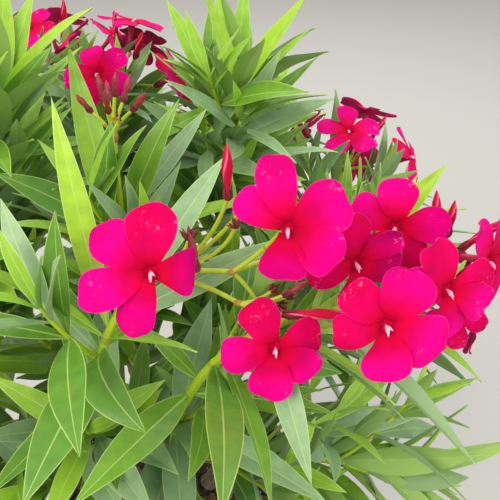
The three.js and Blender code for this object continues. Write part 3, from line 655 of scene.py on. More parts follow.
def grow_twigs(shoot, own, room):
    """Side twigs from the leaf axils, each with small whorls of its own."""
    draw = seeded(SEEDS.twigs + own)
    for w, at in enumerate(np.repeat(shoot.whorls[:-1], 2)):
        stem = heading_at(shoot.curve, at)
        way = leaning(stem, draw(34, 48), shoot.spin + w * FINER.twig_turn + 60 + draw(-14, 14))
        root = point_at(shoot.curve, at)
        length = draw(*FINER.twig_length)
        curve = np.array([root, root + way * length * 0.5, root + lifted(way, 0.35) * length])
        points = spine(curve, 0.3, 1, 5)
        if draw() > FINER.chance or not in_reach(points) or not room.points_fit(points, own):
            continue
        twig = SimpleNamespace(curve=curve, top="leaves", sprays=[])
        for k, (share, size) in enumerate(zip(FINER.twig_whorls, FINER.twig_leaves)):
            spray = grow_whorl(twig, own, room, share, 0.35 + 0.3 * k, draw(0, 120), draw, size, finer=True)
            twig.sprays.append(spray)
        if sum(len(spray) for spray in twig.sprays) >= FINER.fewest_leaves:
            shoot.twigs.append(twig)


def grow():
    canes = [cane_curve(*places) for _, *places in CANES]
    shoots = []
    for i, (cane, tip, bare, arch, whorls, spin, top) in enumerate(SHOOTS):
        draw = seeded(SEEDS.shoots + i)
        curve = shoot_curve(tip, arch, canes[cane])
        hub = SimpleNamespace(foot=point_at(curve, 1.0), way=heading_at(curve, 1.0))
        shoot = SimpleNamespace(
            curve=curve, hub=hub, bare=bare, whorls=whorls, spin=spin, top=top, draw=draw,
            axis=spine(curve, bare, 1, 6), sprays=[], twigs=[], blooms=[], buds=[], forks=[], spent=[],
        )
        vars(shoot).update(cluster_of(top, hub, draw))
        shoots.append(shoot)
    room = Room(canes, shoots)
    for step in (place_listed_leaves, grow_main_leaves, grow_between, grow_twigs):
        for own, shoot in enumerate(shoots):
            step(shoot, own, room)
    for (own, spray, number), share in SHORT_LEAVES.items():
        leaf = shoots[own].sprays[spray][number]
        leaf.length *= share
        leaf.width *= mix(1, share, 0.5)
    return canes, shoots


PLANT = {}


def plant():
    """The grown plant, worked out once."""
    if not PLANT:
        PLANT["canes"], PLANT["shoots"] = grow()
    return PLANT["canes"], PLANT["shoots"]


# Meshes

class Batch:
    """Many like shapes gathered into one mesh, with a finish for each face."""

    def __init__(self):
        self.points, self.places, self.quads, self.tris = [], [], [], []
        self.quad_slots, self.tri_slots = [], []
        self.size = 0

    def add(self, sections, first, last, slots, places=None):
        """A closed skin over a run of sections, each end drawn to a point.

        slots gives a finish to each face between two sections, and places gives each corner
        its place on the pattern, in millimetres.
        """
        count, sides = sections.shape[:2]
        slots = np.broadcast_to(slots, (count - 1, sides))
        if places is None:
            places = np.zeros((count, sides, 2))
        base = self.size
        ring = np.arange(sides)
        after = (ring + 1) % sides
        rows = np.arange(count - 1)[:, None] * sides + base
        quads = np.stack([rows + ring, rows + after, rows + sides + after, rows + sides + ring], -1)
        first_point = base + count * sides
        last_row = base + (count - 1) * sides
        start = np.stack([np.full(sides, first_point), base + after, base + ring], -1)
        end = np.stack([np.full(sides, first_point + 1), last_row + ring, last_row + after], -1)
        self.points.append(np.vstack([sections.reshape(-1, 3), first, last]))
        ends = np.array([places[0].mean(0), places[-1].mean(0)])
        self.places.append(np.vstack([places.reshape(-1, 2), ends]))
        self.quads.append(quads.reshape(-1, 4))
        self.tris.append(np.vstack([start, end]))
        self.quad_slots.append(slots.reshape(-1))
        self.tri_slots.append(np.concatenate([slots[0], slots[-1]]))
        self.size += count * sides + 2

    def mesh(self, name, materials, sharp=50):
        """The joined mesh, in metres, smooth except where it turns sharper than an angle."""
        points = np.vstack(self.points) * MM
        quads = np.vstack(self.quads)
        tris = np.vstack(self.tris)
        mesh = bpy.data.meshes.new(name)
        mesh.from_pydata(points.tolist(), [], quads.tolist() + tris.tolist())
        for material in materials:
            mesh.materials.append(material)
        slots = np.concatenate(self.quad_slots + self.tri_slots).astype(np.int32)
        mesh.polygons.foreach_set("material_index", slots)
        corners = np.concatenate([quads.reshape(-1), tris.reshape(-1)])
        pattern = mesh.uv_layers.new(name="pattern")
        pattern.data.foreach_set("uv", (np.vstack(self.places)[corners] * MM).astype(np.float32).reshape(-1))
        mesh.shade_smooth()
        mesh.set_sharp_from_angle(angle=math.radians(sharp))
        mesh.update()
        return mesh


def rings(points, headings, radii, sides, first_right=None):
    """Rings of corners round a run of points, each following on untwisted from the last."""
    right = across(headings[0])[0] if first_right is None else first_right
    turns = turns_of(sides)
    out = []
    for point, heading, radius in zip(points, headings, radii):
        right = unit(right - heading * right.dot(heading))
        ahead = np.cross(heading, right)
        out.append(point + circle(turns, right, ahead) * np.reshape(radius, (-1, 1)))
    return np.array(out)


# Three waves, each bent by another: how fast they run in three directions, with a shift and depth
RIPPLES = [(1.7, 1.3, 2.1, 1.9, 0.9), (2.3, 1.7, 0.6, 1.6, 1.1), (2.9, 2.1, 4.2, 1.4, -0.7)]


def ripple(points, scale, seed=0.0):
    """A smooth unevenness between -1 and 1 at each point, without any file or chance."""
    p = points / scale + seed
    total = 0
    for i, (own, next_one, shift, depth, last) in enumerate(RIPPLES):
        a, b, c = (p[..., (i + k) % 3] for k in range(3))
        total = total + np.sin(a * own + np.sin(b * next_one + shift) * depth + c * last)
    return total / len(RIPPLES)


def linear(hex_colour):
    """An sRGB hex colour as linear values."""
    parts = [int(hex_colour[i:i + 2], 16) / 255 for i in (1, 3, 5)]
    lit = [c / 12.92 if c <= 0.04045 else ((c + 0.055) / 1.055) ** 2.4 for c in parts]
    return (*lit, 1.0)


def blend(first, second, share):
    return tuple(mix(a, b, share) for a, b in zip(first, second))


# Settings

def size(name, description, millimetres):
    return FloatProperty(
        name=name, description=description, default=millimetres * MM, min=0, unit="LENGTH",
    )


def tint(name, of_what, hex_colour):
    return FloatVectorProperty(
        name=name, description=f"Colour of {of_what}", default=linear(hex_colour), size=4, min=0,
        max=1, subtype="COLOR",
    )


def watts(name, description, power):
    return FloatProperty(name=name, description=description, default=power, min=0, unit="POWER")


class OleanderPotSettings(bpy.types.PropertyGroup):
    plastic: tint("Plastic", "the moulded plastic", "#2A2C2E")
    dust: tint("Dust", "the dry soil dust on the pot", "#7A6A58")
    ribs: IntProperty(name="Ribs", description="How many ribs stand under the rim band", default=36, min=3)
    rib_width: size("Rib width", "Thickness of each rib", 1.5)
    rib_depth: size("Rib depth", "How far each rib stands out at its top", 3.0)
    rib_height: size("Rib height", "How far each rib runs down the wall", 13)


class OleanderSoilSettings(bpy.types.PropertyGroup):
    peat: tint("Peat", "the dry compost", "#4A3524")
    crumb: tint("Crumbs", "the loose crumbs", "#3E2B1C")
    chip: tint("Bark chips", "the composted bark", "#7A5636")
    perlite: tint("Perlite", "the white grains", "#E4E0D6")
    crumb_size: size("Crumb size", "Half width of the largest crumbs", 2.4)
    chip_size: size("Chip size", "Half width of the largest bark chips", 4.2)
    perlite_size: size("Perlite size", "Half width of the largest white grains", 1.6)


class OleanderBarkSettings(bpy.types.PropertyGroup):
    cane: tint("Cane bark", "the oldest bark", "#8C7B62")
    pore: tint("Cork pores", "the corky pores on the canes", "#B9A88A")
    bough: tint("Bough bark", "last year's green wood", "#7C8B4E")
    stem: tint("Young stem", "this year's stems", "#BAD820")
    joint: tint("Stem joints", "the rings where the leaves stand", "#B07A35")
    pore_length: size("Pore length", "Half length of a cork pore", 1.1)


class OleanderLeafSettings(bpy.types.PropertyGroup):
    young: tint("Young leaves", "the newest leaves", "#A4CE34")
    fresh: tint("Fresh leaves", "the upper leaves", "#94C23A")
    mid: tint("Full leaves", "the full-grown leaves", "#72A22E")
    deep: tint("Old leaves", "the lowest leaves", "#609230")
    # a pale grey-green for whole sprays: painted reflection of the sky on the waxy upper side
    grey: tint("Grey leaves", "the sprays with a greyish bloom", "#90B284")
    midrib: tint("Midrib", "the midrib and the thin margin", "#BED67A")
    underside: tint("Underside", "the undersides", "#A3BC88")


class OleanderFlowerSettings(bpy.types.PropertyGroup):
    throat: tint("Throat", "the petals at the throat", "#B80030")
    inner: tint("Inner petal", "the petals round the throat", "#D6003C")
    outer: tint("Outer petal", "most petals at their end", "#EC0084")
    # painted shade: a redder copy of the petal colour for petals that lie in shade
    rose: tint("Rose petal", "the redder petals at their end", "#DE0056")
    margin: tint("Petal margin", "the thin edge of the petals", "#E83296")
    # pale patches near the petal ends: partly grazes, partly painted highlight for the velvety sheen
    graze_and_highlight: tint("Scuffs", "the grazed patches near the petals' ends", "#FF9CD0")
    back: tint("Petal back", "the petals' backs", "#DC2A7C")
    plume: tint("Plume", "the pale plume in the throat", "#FFC4E0")
    tube: tint("Tube", "the flower's tube outside", "#C41A4C")
    sepal: tint("Sepals", "the sepals", "#641222")
    bud: tint("Buds", "the large buds", "#C80036")
    seam: tint("Bud seams", "the twisted seams of a bud", "#EC6A9C")
    small_bud: tint("Small buds", "the small buds", "#A43640")
    stalk: tint("Flower stalk", "the flower stalks", "#C2D238")
    petal_thickness: size("Petal thickness", "Thickness of a petal", 0.42)


class OleanderStageSettings(bpy.types.PropertyGroup):
    floor: tint("Floor", "the studio floor", "#BDBBB5")
    sky: tint("Surroundings", "the even light from all sides", "#F4F4F2")
    key: watts("Key light", "Power of the main light", 30)
    fill: watts("Fill light", "Power of the light from the right", 14)
    back: watts("Back light", "Power of the light from behind", 20)


def settings(group):
    """The values of a group of settings, its colours as plain tuples."""
    values = {name: getattr(group, name) for name in type(group).__annotations__}
    plain = {name: tuple(v) if hasattr(v, "__len__") else v for name, v in values.items()}
    return SimpleNamespace(**plain)


# Pieces

def add_piece(mesh, replaced=()):
    """Puts a finished mesh in the scene as a piece that rides on the body."""
    if not mesh.polygons:
        raise RuntimeError(f"{mesh.name} came out empty")
    piece = new_object(mesh.name, mesh)
    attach(piece, "root")
    if replaced:
        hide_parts(*replaced)


def new_object(name, data):
    made = bpy.data.objects.new(name, data)
    bpy.context.scene.collection.objects.link(made)
    return made


def numbered(name, limbs):
    return [f"{name}_{i + 1:02d}" for i in range(len(limbs))]


def baked(source, name):
    """The object's finished mesh as a plain one, and the object taken away."""
    bpy.context.view_layer.update()
    graph = bpy.context.evaluated_depsgraph_get()
    mesh = bpy.data.meshes.new_from_object(source.evaluated_get(graph), depsgraph=graph)
    mesh.name = name
    bpy.data.objects.remove(source)
    return mesh


def new_tree(name, **sizes):
    """A node tree that takes a surface, named sizes and a seed, and the sockets that give them."""
    tree = bpy.data.node_groups.new(name, "GeometryNodeTree")
    sockets = tree.interface
    sockets.new_socket("Surface", in_out="INPUT", socket_type="NodeSocketGeometry")
    for label, default in sizes.items():
        socket = sockets.new_socket(label, in_out="INPUT", socket_type="NodeSocketFloat")
        socket.default_value = default
    sockets.new_socket("Seed", in_out="INPUT", socket_type="NodeSocketInt")
    sockets.new_socket("Pieces", in_out="OUTPUT", socket_type="NodeSocketGeometry")
    return tree, node(tree, "NodeGroupInput").outputs


def strewn(tree, given, **limits):
    """Points strewn over the surface."""
    inputs = {"Mesh": given["Surface"], "Density": given["Density"], "Seed": given["Seed"]}
    return node(tree, "GeometryNodeDistributePointsOnFaces", inputs | limits).outputs


def copies(tree, points, shape, **placing):
    """A copy of a shape at each point."""
    inputs = {"Points": points, "Instance": shape.outputs[0]}
    return node(tree, "GeometryNodeInstanceOnPoints", inputs | placing).outputs[0]


def end_tree(tree, geometry, material):
    """Ends a node tree in real meshes with their finish."""
    whole = node(tree, "GeometryNodeRealizeInstances", {"Geometry": geometry})
    dressed = node(tree, "GeometryNodeSetMaterial", {"Geometry": whole.outputs[0], "Material": material})
    tree.links.new(dressed.outputs[0], node(tree, "NodeGroupOutput").inputs[0])
    return tree


def grow_on(name, surface, tree, slot, **values):
    """Runs a node tree over a copy of a surface and keeps what it makes as one piece."""
    base = new_object(f"{name}_base", surface.copy())
    grown = base.modifiers.new("grown", "NODES")
    grown.node_group = tree
    for item in tree.interface.items_tree:
        if item.item_type == "SOCKET" and item.in_out == "INPUT" and item.name in values:
            grown[item.identifier] = values[item.name]
    add_piece(baked(base, name))


# Finishes

def node(tree, kind, inputs=None, **options):
    """Adds a node with its options. An input is a value or another node's output."""
    made = tree.nodes.new(kind)
    for name, value in options.items():
        setattr(made, name, value)
    for name, value in (inputs or {}).items():
        if isinstance(value, bpy.types.NodeSocket):
            tree.links.new(value, made.inputs[name])
        else:
            made.inputs[name].default_value = value
    return made


def new_material(name, roughness, **sockets):
    """A material with its shader's plain values, and its node tree."""
    material = bpy.data.materials.new(name)
    material.use_nodes = True
    shader = material.node_tree.nodes["Principled BSDF"]
    for socket, value in {"Roughness": roughness, **sockets}.items():
        shader.inputs[socket.replace("_", " ")].default_value = value
    return material, material.node_tree


def finished(material, colour, height, depth, roughness=None):
    """The material with its colour and with bumps of a real depth in metres."""
    tree = material.node_tree
    bump = node(tree, "ShaderNodeBump", {"Strength": 1.0, "Distance": depth, "Height": height})
    linked = {"Base Color": colour, "Normal": bump.outputs["Normal"]}
    if roughness:
        linked["Roughness"] = roughness
    for socket, value in linked.items():
        tree.links.new(value, tree.nodes["Principled BSDF"].inputs[socket])
    return material


def math_node(tree, operation, first, second=0.0):
    return node(tree, "ShaderNodeMath", {0: first, 1: second}, operation=operation).outputs[0]


def product(tree, result, *factors):
    for factor in factors:
        result = math_node(tree, "MULTIPLY", result, factor)
    return result


def waves(tree, value, spacing_mm):
    return math_node(tree, "SINE", product(tree, value, 2 * math.pi / (spacing_mm * MM)))


def split(tree, vector):
    return node(tree, "ShaderNodeSeparateXYZ", {"Vector": vector}).outputs


def joined(tree, x=0.0, y=0.0, z=0.0):
    return node(tree, "ShaderNodeCombineXYZ", {0: x, 1: y, 2: z}).outputs[0]


def ranged(tree, value, low, high, to_low=0.0, to_high=1.0):
    limits = {"Value": value, "From Min": low, "From Max": high, "To Min": to_low, "To Max": to_high}
    return node(tree, "ShaderNodeMapRange", limits).outputs[0]


def colour_mix(tree, share, first, second, blend_type="MIX"):
    inputs = {0: share, 6: first, 7: second}
    return node(tree, "ShaderNodeMix", inputs, data_type="RGBA", blend_type=blend_type).outputs[2]


def object_place(tree):
    return node(tree, "ShaderNodeTexCoord").outputs["Object"]


def pattern_place(tree):
    """The place on a piece's own pattern, in metres along it and across it."""
    return node(tree, "ShaderNodeUVMap", uv_map="pattern").outputs[0]


def object_noise(tree, size_mm, detail=3.0, low=0.35, high=0.65):
    """Noise whose lumps are about size_mm across, stretched between 0 and 1."""
    scale = {"Vector": object_place(tree), "Scale": 1 / (size_mm * MM), "Detail": detail}
    return ranged(tree, node(tree, "ShaderNodeTexNoise", scale).outputs[0], low, high)


def mottled(tree, colour, size_mm, detail, dark, light):
    """A colour multiplied by tones that drift between a dark and a light one."""
    tone = colour_mix(tree, object_noise(tree, size_mm, detail, 0.3, 0.7), dark, light)
    return colour_mix(tree, 1.0, colour, tone, "MULTIPLY")


def leaf_finish(name, base, vein):
    """A living leaf: a waxy skin with a soft shine over faint side veins and mottling.

    The side veins are 1.1 mm apart and leave the midrib at about 70 degrees.
    """
    material, tree = new_material(name, 0.4, IOR=1.45)
    along, across_it, _ = split(tree, pattern_place(tree))
    lag = product(tree, math_node(tree, "ABSOLUTE", across_it), 0.42)
    lines = waves(tree, math_node(tree, "SUBTRACT", along, lag), 1.1)
    veins = ranged(tree, lines, 0.2, 1.0, 0.0, 0.07)
    colour = colour_mix(tree, veins, base, vein)
    colour = mottled(tree, colour, 7, 5.0, (0.84, 0.86, 0.8, 1), (1.12, 1.1, 1.06, 1))
    shine = ranged(tree, object_noise(tree, 1.6, 4.0), 0.0, 1.0, 0.28, 0.5)
    return finished(material, colour, veins, 0.00006, shine)


def tissue(name, base, deep, roughness, lump_mm, **sockets):
    """Smooth plant tissue: one colour with a slightly deeper one in soft patches."""
    material, tree = new_material(name, roughness, **sockets)
    patches = object_noise(tree, lump_mm)
    return finished(material, colour_mix(tree, patches, base, deep), patches, 0.00005)


def petal_finish(name, inner, outer, start_mm, end_mm, graze_and_highlight_tint=None):
    """A velvety matt petal: its colour drifts outwards over fine veins 0.9 mm apart.

    The scuffed colour is the pale one of the small patches near the edge: partly grazes, partly painted
    highlight for the petals' velvety sheen.
    """
    material, tree = new_material(name, 0.8, IOR=1.4, Specular_IOR_Level=0.08)
    along, across_it, _ = split(tree, pattern_place(tree))
    colour = colour_mix(tree, ranged(tree, along, start_mm * MM, end_mm * MM), inner, outer)
    # darker and lighter in soft random patches: partly uneven tone, partly painted shade that stands in for
    # the petals' uneven shading
    colour = mottled(tree, colour, 13, 2.0, (0.74, 0.7, 0.68, 1), (1.04, 1.04, 1.08, 1))
    # pale patches near the end: partly grazes, partly painted highlight
    if graze_and_highlight_tint:
        fine = object_noise(tree, 1.5, 4.0, 0.56, 0.66)
        patch = object_noise(tree, 11, 2.0, 0.56, 0.66)
        far = ranged(tree, along, 14 * MM, 19 * MM)
        colour = colour_mix(tree, product(tree, fine, patch, far, 0.45), colour, graze_and_highlight_tint)
    return finished(material, colour, waves(tree, across_it, 0.9), 0.00003)


def bark_finish(name, base, deep, pale, roughness=0.72, depth=0.0002):
    """Young bark: lengthwise streaks about 2 mm wide under small paler flecks."""
    material, tree = new_material(name, roughness)
    drawn = node(tree, "ShaderNodeMapping", {"Vector": pattern_place(tree), "Scale": (60, 420, 1)})
    streaks = node(tree, "ShaderNodeTexNoise", {"Vector": drawn.outputs[0], "Scale": 1.0, "Detail": 4.0})
    share = ranged(tree, streaks.outputs[0], 0.35, 0.65)
    flecks = object_noise(tree, 1.6, 2.0, 0.66, 0.72)
    colour = colour_mix(tree, flecks, colour_mix(tree, share, base, deep), pale)
    return finished(material, colour, share, depth)


# Pot and soil

def pot_radius(height):
    return mix(POT.foot_radius, POT.rim_radius, height / POT.height)


def arc(centre, radius, start, end, steps):
    """Points of a rounded corner in a profile, from one angle to another."""
    angles = np.radians(np.linspace(start, end, steps))
    return [(centre[0] + radius * math.cos(a), centre[1] + radius * math.sin(a)) for a in angles]


def pot_profile():
    """The turned outline, from the middle of the underside round to the middle of the floor."""
    top, floor, wall, recess = POT.height, POT.floor, POT.wall, POT.recess
    proud, groove, large, small = POT.band_proud, POT.groove, POT.rounding, POT.small_rounding
    shoulder = top - POT.band_height
    foot, neck, floor_edge = (pot_radius(height) for height in (0, shoulder, floor))
    rim, inner = pot_radius(top) + proud, pot_radius(top) - POT.lip
    ring = foot - POT.foot_ring
    return [
        (0, recess), (20, recess), (60, recess), (ring - 1, recess), (ring, 0), (foot - small, 0),
        *arc((foot - 1.2, small), small, -80, -10, 4),
        (pot_radius(5.8), 5.8), (pot_radius(6.6) - groove, 6.6), (pot_radius(7.6) - groove, 7.6),
        *((pot_radius(height), height) for height in np.linspace(8, shoulder - 3, 14)),
        *arc((neck + 1.0, shoulder - 1.0), 1.0, 180, 95, 4),
        *arc((neck + proud - large, shoulder + large), large, -80, 0, 5),
        (rim - 0.4, top - 4), *arc((rim - large, top - large), large, 0, 90, 6),
        *arc((inner + small, top - small), small, 90, 180, 5),
        (inner - 0.5, top - 8), (neck - wall, shoulder), (pot_radius(60) - wall, 60),
        (floor_edge - wall - 1.5, floor + 1.2), (floor_edge - wall - 4, floor),
        (60, floor), (20, floor), (0, floor),
    ]


def pot_plastic(pot):
    """Blow-moulded polypropylene, dark and satin, with dry soil dust towards the foot."""
    material, tree = new_material("polypropylene_moulded_satin", 0.42, IOR=1.49)
    blotches = object_noise(tree, 26, 4.0, 0.45, 0.75)
    specks = object_noise(tree, 1.4, 2.0, 0.6, 0.7)
    splashed = ranged(tree, split(tree, object_place(tree))[2], 0.06, 0.0)
    dusty = math_node(tree, "ADD", splashed, product(tree, blotches, specks))
    dusty = product(tree, ranged(tree, dusty, 0.0, 1.0), 0.35)
    colour = colour_mix(tree, dusty, pot.plastic, pot.dust)
    # moulded skin shines softly, and the dust dulls it
    shine = ranged(tree, dusty, 0.0, 1.0, 0.4, 0.8)
    return finished(material, colour, object_noise(tree, 0.7, 2.0), 0.00004, shine)


def cut_holes(pot):
    """Cuts the drain holes through the floor."""
    cutters = []
    for i in range(DRAIN.count):
        turn = i / DRAIN.count * 2 * math.pi
        centre = np.array([math.cos(turn), math.sin(turn), 0]) * DRAIN.ring
        points = [centre + UP * height for height in (-6.0, 12.0)]
        batch = Batch()
        skin = rings(points, [UP] * 2, [DRAIN.radius] * 2, DRAIN.sides)
        batch.add(skin, points[0], points[1], 0)
        cut = pot.modifiers.new("drain", "BOOLEAN")
        cut.operation = "DIFFERENCE"
        cut.solver = "EXACT"
        cut.object = new_object("drain_cutter", batch.mesh("drain_cutter", []))
        cutters.append(cut.object)
    mesh = baked(pot, "pot_shell")
    for cutter in cutters:
        bpy.data.objects.remove(cutter)
    return mesh


def rib_tree(name, material):
    """A node tree that stands wedge-shaped ribs in a ring, each running out at its foot."""
    tree, given = new_tree(
        name, Count=36, Radius=0.1, Width=0.0015, Depth=0.003, Height=0.013, Level=0.17,
    )
    ring = node(tree, "GeometryNodeMeshCircle", {"Vertices": given["Count"], "Radius": given["Radius"]})
    form = joined(tree, given["Depth"], given["Width"], given["Height"])
    block = node(tree, "GeometryNodeMeshCube", {"Size": form})
    spot = split(tree, node(tree, "GeometryNodeInputPosition").outputs[0])
    lower = math_node(tree, "LESS_THAN", spot[2], 0.0)
    outer = math_node(tree, "GREATER_THAN", spot[0], 0.0)
    shift = joined(tree, product(tree, lower, outer, given["Depth"], -0.9))
    wedge = node(tree, "GeometryNodeSetPosition", {"Geometry": block.outputs[0], "Offset": shift})
    number = node(tree, "GeometryNodeInputIndex").outputs[0]
    step = math_node(tree, "DIVIDE", 2 * math.pi, given["Count"])
    placed = copies(tree, ring.outputs[0], wedge, Rotation=joined(tree, z=product(tree, number, step)))
    level = {"Geometry": placed, "Translation": joined(tree, z=given["Level"])}
    return end_tree(tree, node(tree, "GeometryNodeTransform", level).outputs[0], material)


def make_pot(context):
    pot = settings(context.scene.oleander_pot)
    plastic = pot_plastic(pot)
    batch = Batch()
    add_turned(batch, np.zeros(3), UP, pot_profile(), POT.sides, 0)
    mesh = cut_holes(new_object("pot_raw", batch.mesh("pot_raw", [plastic], 40)))
    mesh.set_sharp_from_angle(angle=math.radians(40))
    add_piece(mesh, ["pot"])
    level = (POT.height - POT.band_height) * MM - pot.rib_height / 2
    grow_on(
        "pot_ribs", bpy.data.meshes.new("no_surface"), rib_tree("rib_tree", plastic), "pot_plastic",
        Count=float(pot.ribs), Radius=pot_radius(level / MM) * MM + pot.rib_depth * 0.3,
        Width=pot.rib_width, Depth=pot.rib_depth, Height=pot.rib_height, Level=level,
    )


def soil_finish(name, base, lump_mm, depth):
    """Peat and composted bark: crumbly and never shiny, much darker in the low parts of its lumps and a
    little paler in fine flecks.
    """
    material, tree = new_material(name, 0.95)
    lumps = object_noise(tree, lump_mm, 5.0, 0.3, 0.7)
    fine = object_noise(tree, lump_mm * 0.25, 3.0, 0.55, 0.75)
    colour = colour_mix(tree, lumps, blend(base, BLACK, 0.72), base)
    return finished(material, colour_mix(tree, fine, colour, blend(base, WHITE, 0.08)), lumps, depth)


def soil_inner(height):
    return pot_radius(height) - POT.wall - GAP


def soil_batch():
    """The body of the soil with an uneven top, which dips a little towards the wall."""
    turns = turns_of(SOIL.sides)
    flat = np.stack([np.cos(turns), np.sin(turns), turns * 0], 1)
    bottom, middle = POT.floor + GAP, 120
    skin = [flat * soil_inner(bottom) * share + UP * bottom for share in (0.3, 1.0)]
    skin.append(flat * (soil_inner(middle) - 0.2) + UP * middle)
    for share in np.linspace(1, 0.03, SOIL.rings):
        ring = flat * (soil_inner(SOIL_TOP) - 0.6) * share
        lumps = sum(high * ripple(ring, width, seed) for high, width, seed in SOIL_LUMPS)
        ring = ring + UP * (SOIL_TOP - SOIL.sunk - SOIL.dip * share**6)
        skin.append(ring + lumps[:, None] * UP)
    batch = Batch()
    batch.add(np.array(skin), UP * bottom, skin[-1].mean(0), 0)
    return batch


def scatter_tree(name, material):
    """A node tree that strews uneven crumbs over the upward part of a surface."""
    tree, given = new_tree(name, Density=1000.0, Size=0.003, Flatness=0.7, Length=1.0)
    slope = split(tree, node(tree, "GeometryNodeInputNormal").outputs[0])[2]
    points = strewn(tree, given, Selection=math_node(tree, "GREATER_THAN", slope, 0.6))
    crumb = node(tree, "GeometryNodeMeshIcoSphere", {"Radius": 1.0, "Subdivisions": 1})
    spot = node(tree, "GeometryNodeInputPosition").outputs[0]
    lumps = node(tree, "ShaderNodeTexNoise", {"Vector": spot, "Scale": 1.1, "Detail": 2.0}).outputs[1]
    moved = node(tree, "ShaderNodeVectorMath", {0: lumps, 1: (0.5, 0.5, 0.5)}, operation="SUBTRACT")
    moved = node(tree, "ShaderNodeVectorMath", {0: moved.outputs[0], "Scale": 1.6}, operation="SCALE")
    uneven = {"Geometry": crumb.outputs[0], "Offset": moved.outputs[0]}
    uneven = node(tree, "GeometryNodeSetPosition", uneven).outputs[0]
    form = {"Geometry": uneven, "Scale": joined(tree, given["Length"], 1.0, given["Flatness"])}
    formed = node(tree, "GeometryNodeTransform", form)
    turns = {0: (-0.5, -0.5, 0), 1: (0.5, 0.5, 6.283), "Seed": given["Seed"]}
    spin = node(tree, "FunctionNodeRandomValue", turns, data_type="FLOAT_VECTOR").outputs[0]
    sizes = {2: product(tree, given["Size"], 0.45), 3: given["Size"], "Seed": given["Seed"]}
    grown = node(tree, "FunctionNodeRandomValue", sizes, data_type="FLOAT").outputs[1]
    return end_tree(tree, copies(tree, points[0], formed, Rotation=spin, Scale=grown), material)


def make_soil(context):
    soil = settings(context.scene.oleander_soil)
    # the compost is much darker in the low parts of its lumps
    peat = soil_finish("peat_and_bark_compost", soil.peat, 5, 0.0012)
    body = soil_batch().mesh("soil_body", [peat], 60)
    add_piece(body, ["potting_soil"])
    strewn_kinds = [
        ("soil_crumbs", soil.crumb, 3, soil.crumb_size, 72000.0, 0.8, 1.2),
        ("bark_chips", soil.chip, 6, soil.chip_size, 9000.0, 0.32, 1.9),
        ("perlite", soil.perlite, 1.5, soil.perlite_size, 4200.0, 0.9, 1.0),
    ]
    for seed, (name, colour, lump_mm, half, density, flatness, length) in enumerate(strewn_kinds, 3):
        skin = soil_finish(f"{name}_skin", colour, lump_mm, 0.0004)
        grow_on(
            name, body, scatter_tree(f"{name}_tree", skin), "potting_soil",
            Seed=seed, Density=density, Size=half, Flatness=flatness, Length=length,
        )


# Canes, boughs and stems

def bark_ripple(skin, points, rough, scale, seed):
    """Moves a limb's skin in and out, so that its bark is uneven."""
    return points[:, None] + (skin - points[:, None]) * (1 + rough * ripple(skin, scale, seed))[..., None]


def limb_places(along, radius, sides):
    """The places of a limb's corners on its pattern: along it and round it, in millimetres."""
    return np.stack(np.broadcast_arrays(along[:, None], turns_of(sides)[None] * radius), -1)


def limb_skin(batch, curve, span, radii, grid, knots, rough, seed, knot_slot=1):
    """A round limb with uneven bark and a low collar at each knot, closed at both ends."""
    start, end = span
    radius, tip_radius = radii
    sides, rows = grid
    shares = np.linspace(start, end, rows)
    points = point_at(curve, shares)
    headings = heading_at(curve, shares)
    length = np.linalg.norm(np.diff(points, axis=0), axis=1).sum()
    along = (shares - start) / (end - start)
    collar = np.zeros(rows)
    for knot in knots:
        off = (shares - knot) / (end - start) * length
        collar = np.maximum(collar, np.exp(-((off / (radius * COLLAR.length)) ** 2)))
    grown = mix(radius, tip_radius, along) * (1 + COLLAR.height * collar)
    skin = bark_ripple(rings(points, headings, grown, sides), points, rough, 2.6, seed)
    slots = np.zeros((rows - 1, sides), int)
    slots[(collar[1:] + collar[:-1]) > COLLAR.share] = knot_slot
    places = limb_places(along * length, radius, sides)
    first = points[0] - headings[0] * radius * 0.3
    batch.add(skin, first, points[-1] + headings[-1] * tip_radius * 1.2, slots, places)


def cane_skin(batch, curve, seed):
    """A cane from below the soil to its fork, its foot flared and ringed by old leaf scars."""
    sides, rows = LIMB_GRID.cane
    shares = np.linspace(0, 1, rows) ** 1.15
    points = point_at(curve, shares)
    headings = heading_at(curve, shares)
    height = points[:, 2] - points[0, 2]
    flared = (1 - height / CANE.flare_height).clip(0) ** CANE.flare_power
    scarred = np.sin(height / CANE.scars * 2 * math.pi + seed) > CANE.scar_width
    radii = mix(CANE.foot_radius, CANE.top_radius, shares)
    radii *= 1 + (CANE.flare - 1) * flared
    radii *= 1 + CANE.scar_height * scarred
    radii[-3:] *= np.array([1.06, 1.1, 1.06])
    skin = bark_ripple(rings(points, headings, radii, sides), points, 0.05, 3.2, seed)
    skin = bark_ripple(skin, points, 0.03, 1.3, seed)
    places = limb_places(height, CANE.foot_radius, sides)
    below_soil = points[0] - UP * CANE.below_soil
    batch.add(skin, below_soil, points[-1] + headings[-1] * 3.4, 0, places)


def pore_tree(name, material):
    """A node tree that sets small corky pores on a surface, each a low oval lying along it."""
    tree, given = new_tree(name, Density=16000.0, Length=0.0011, Width=0.0005, Height=0.0003)
    points = strewn(tree, given)
    pore = node(tree, "GeometryNodeMeshIcoSphere", {"Radius": 1.0, "Subdivisions": 1})
    form = joined(tree, given["Length"], given["Width"], given["Height"])
    placed = copies(tree, points["Points"], pore, Rotation=points["Rotation"], Scale=form)
    return end_tree(tree, placed, material)


def make_canes(context):
    bark = settings(context.scene.oleander_bark)
    canes, _ = plant()
    batch = Batch()
    for i, curve in enumerate(canes):
        cane_skin(batch, curve, i * 1.7)
    deep = blend(bark.cane, BLACK, 0.55)
    # thin grey-brown bark, smooth to the eye, with fine lengthwise cracks
    skin = bark_finish("oleander_cane_bark", bark.cane, deep, bark.pore, 0.78, 0.0004)
    mesh = batch.mesh("canes", [skin])
    pores = tissue("cork_pore", bark.pore, blend(bark.pore, bark.cane, 0.5), 0.85, 2)
    grow_on("cane_pores", mesh, pore_tree("pore_tree", pores), "cane_bark", Seed=4, Length=bark.pore_length)
    add_piece(mesh, [f"cane_{name}" for name, *_ in CANES])


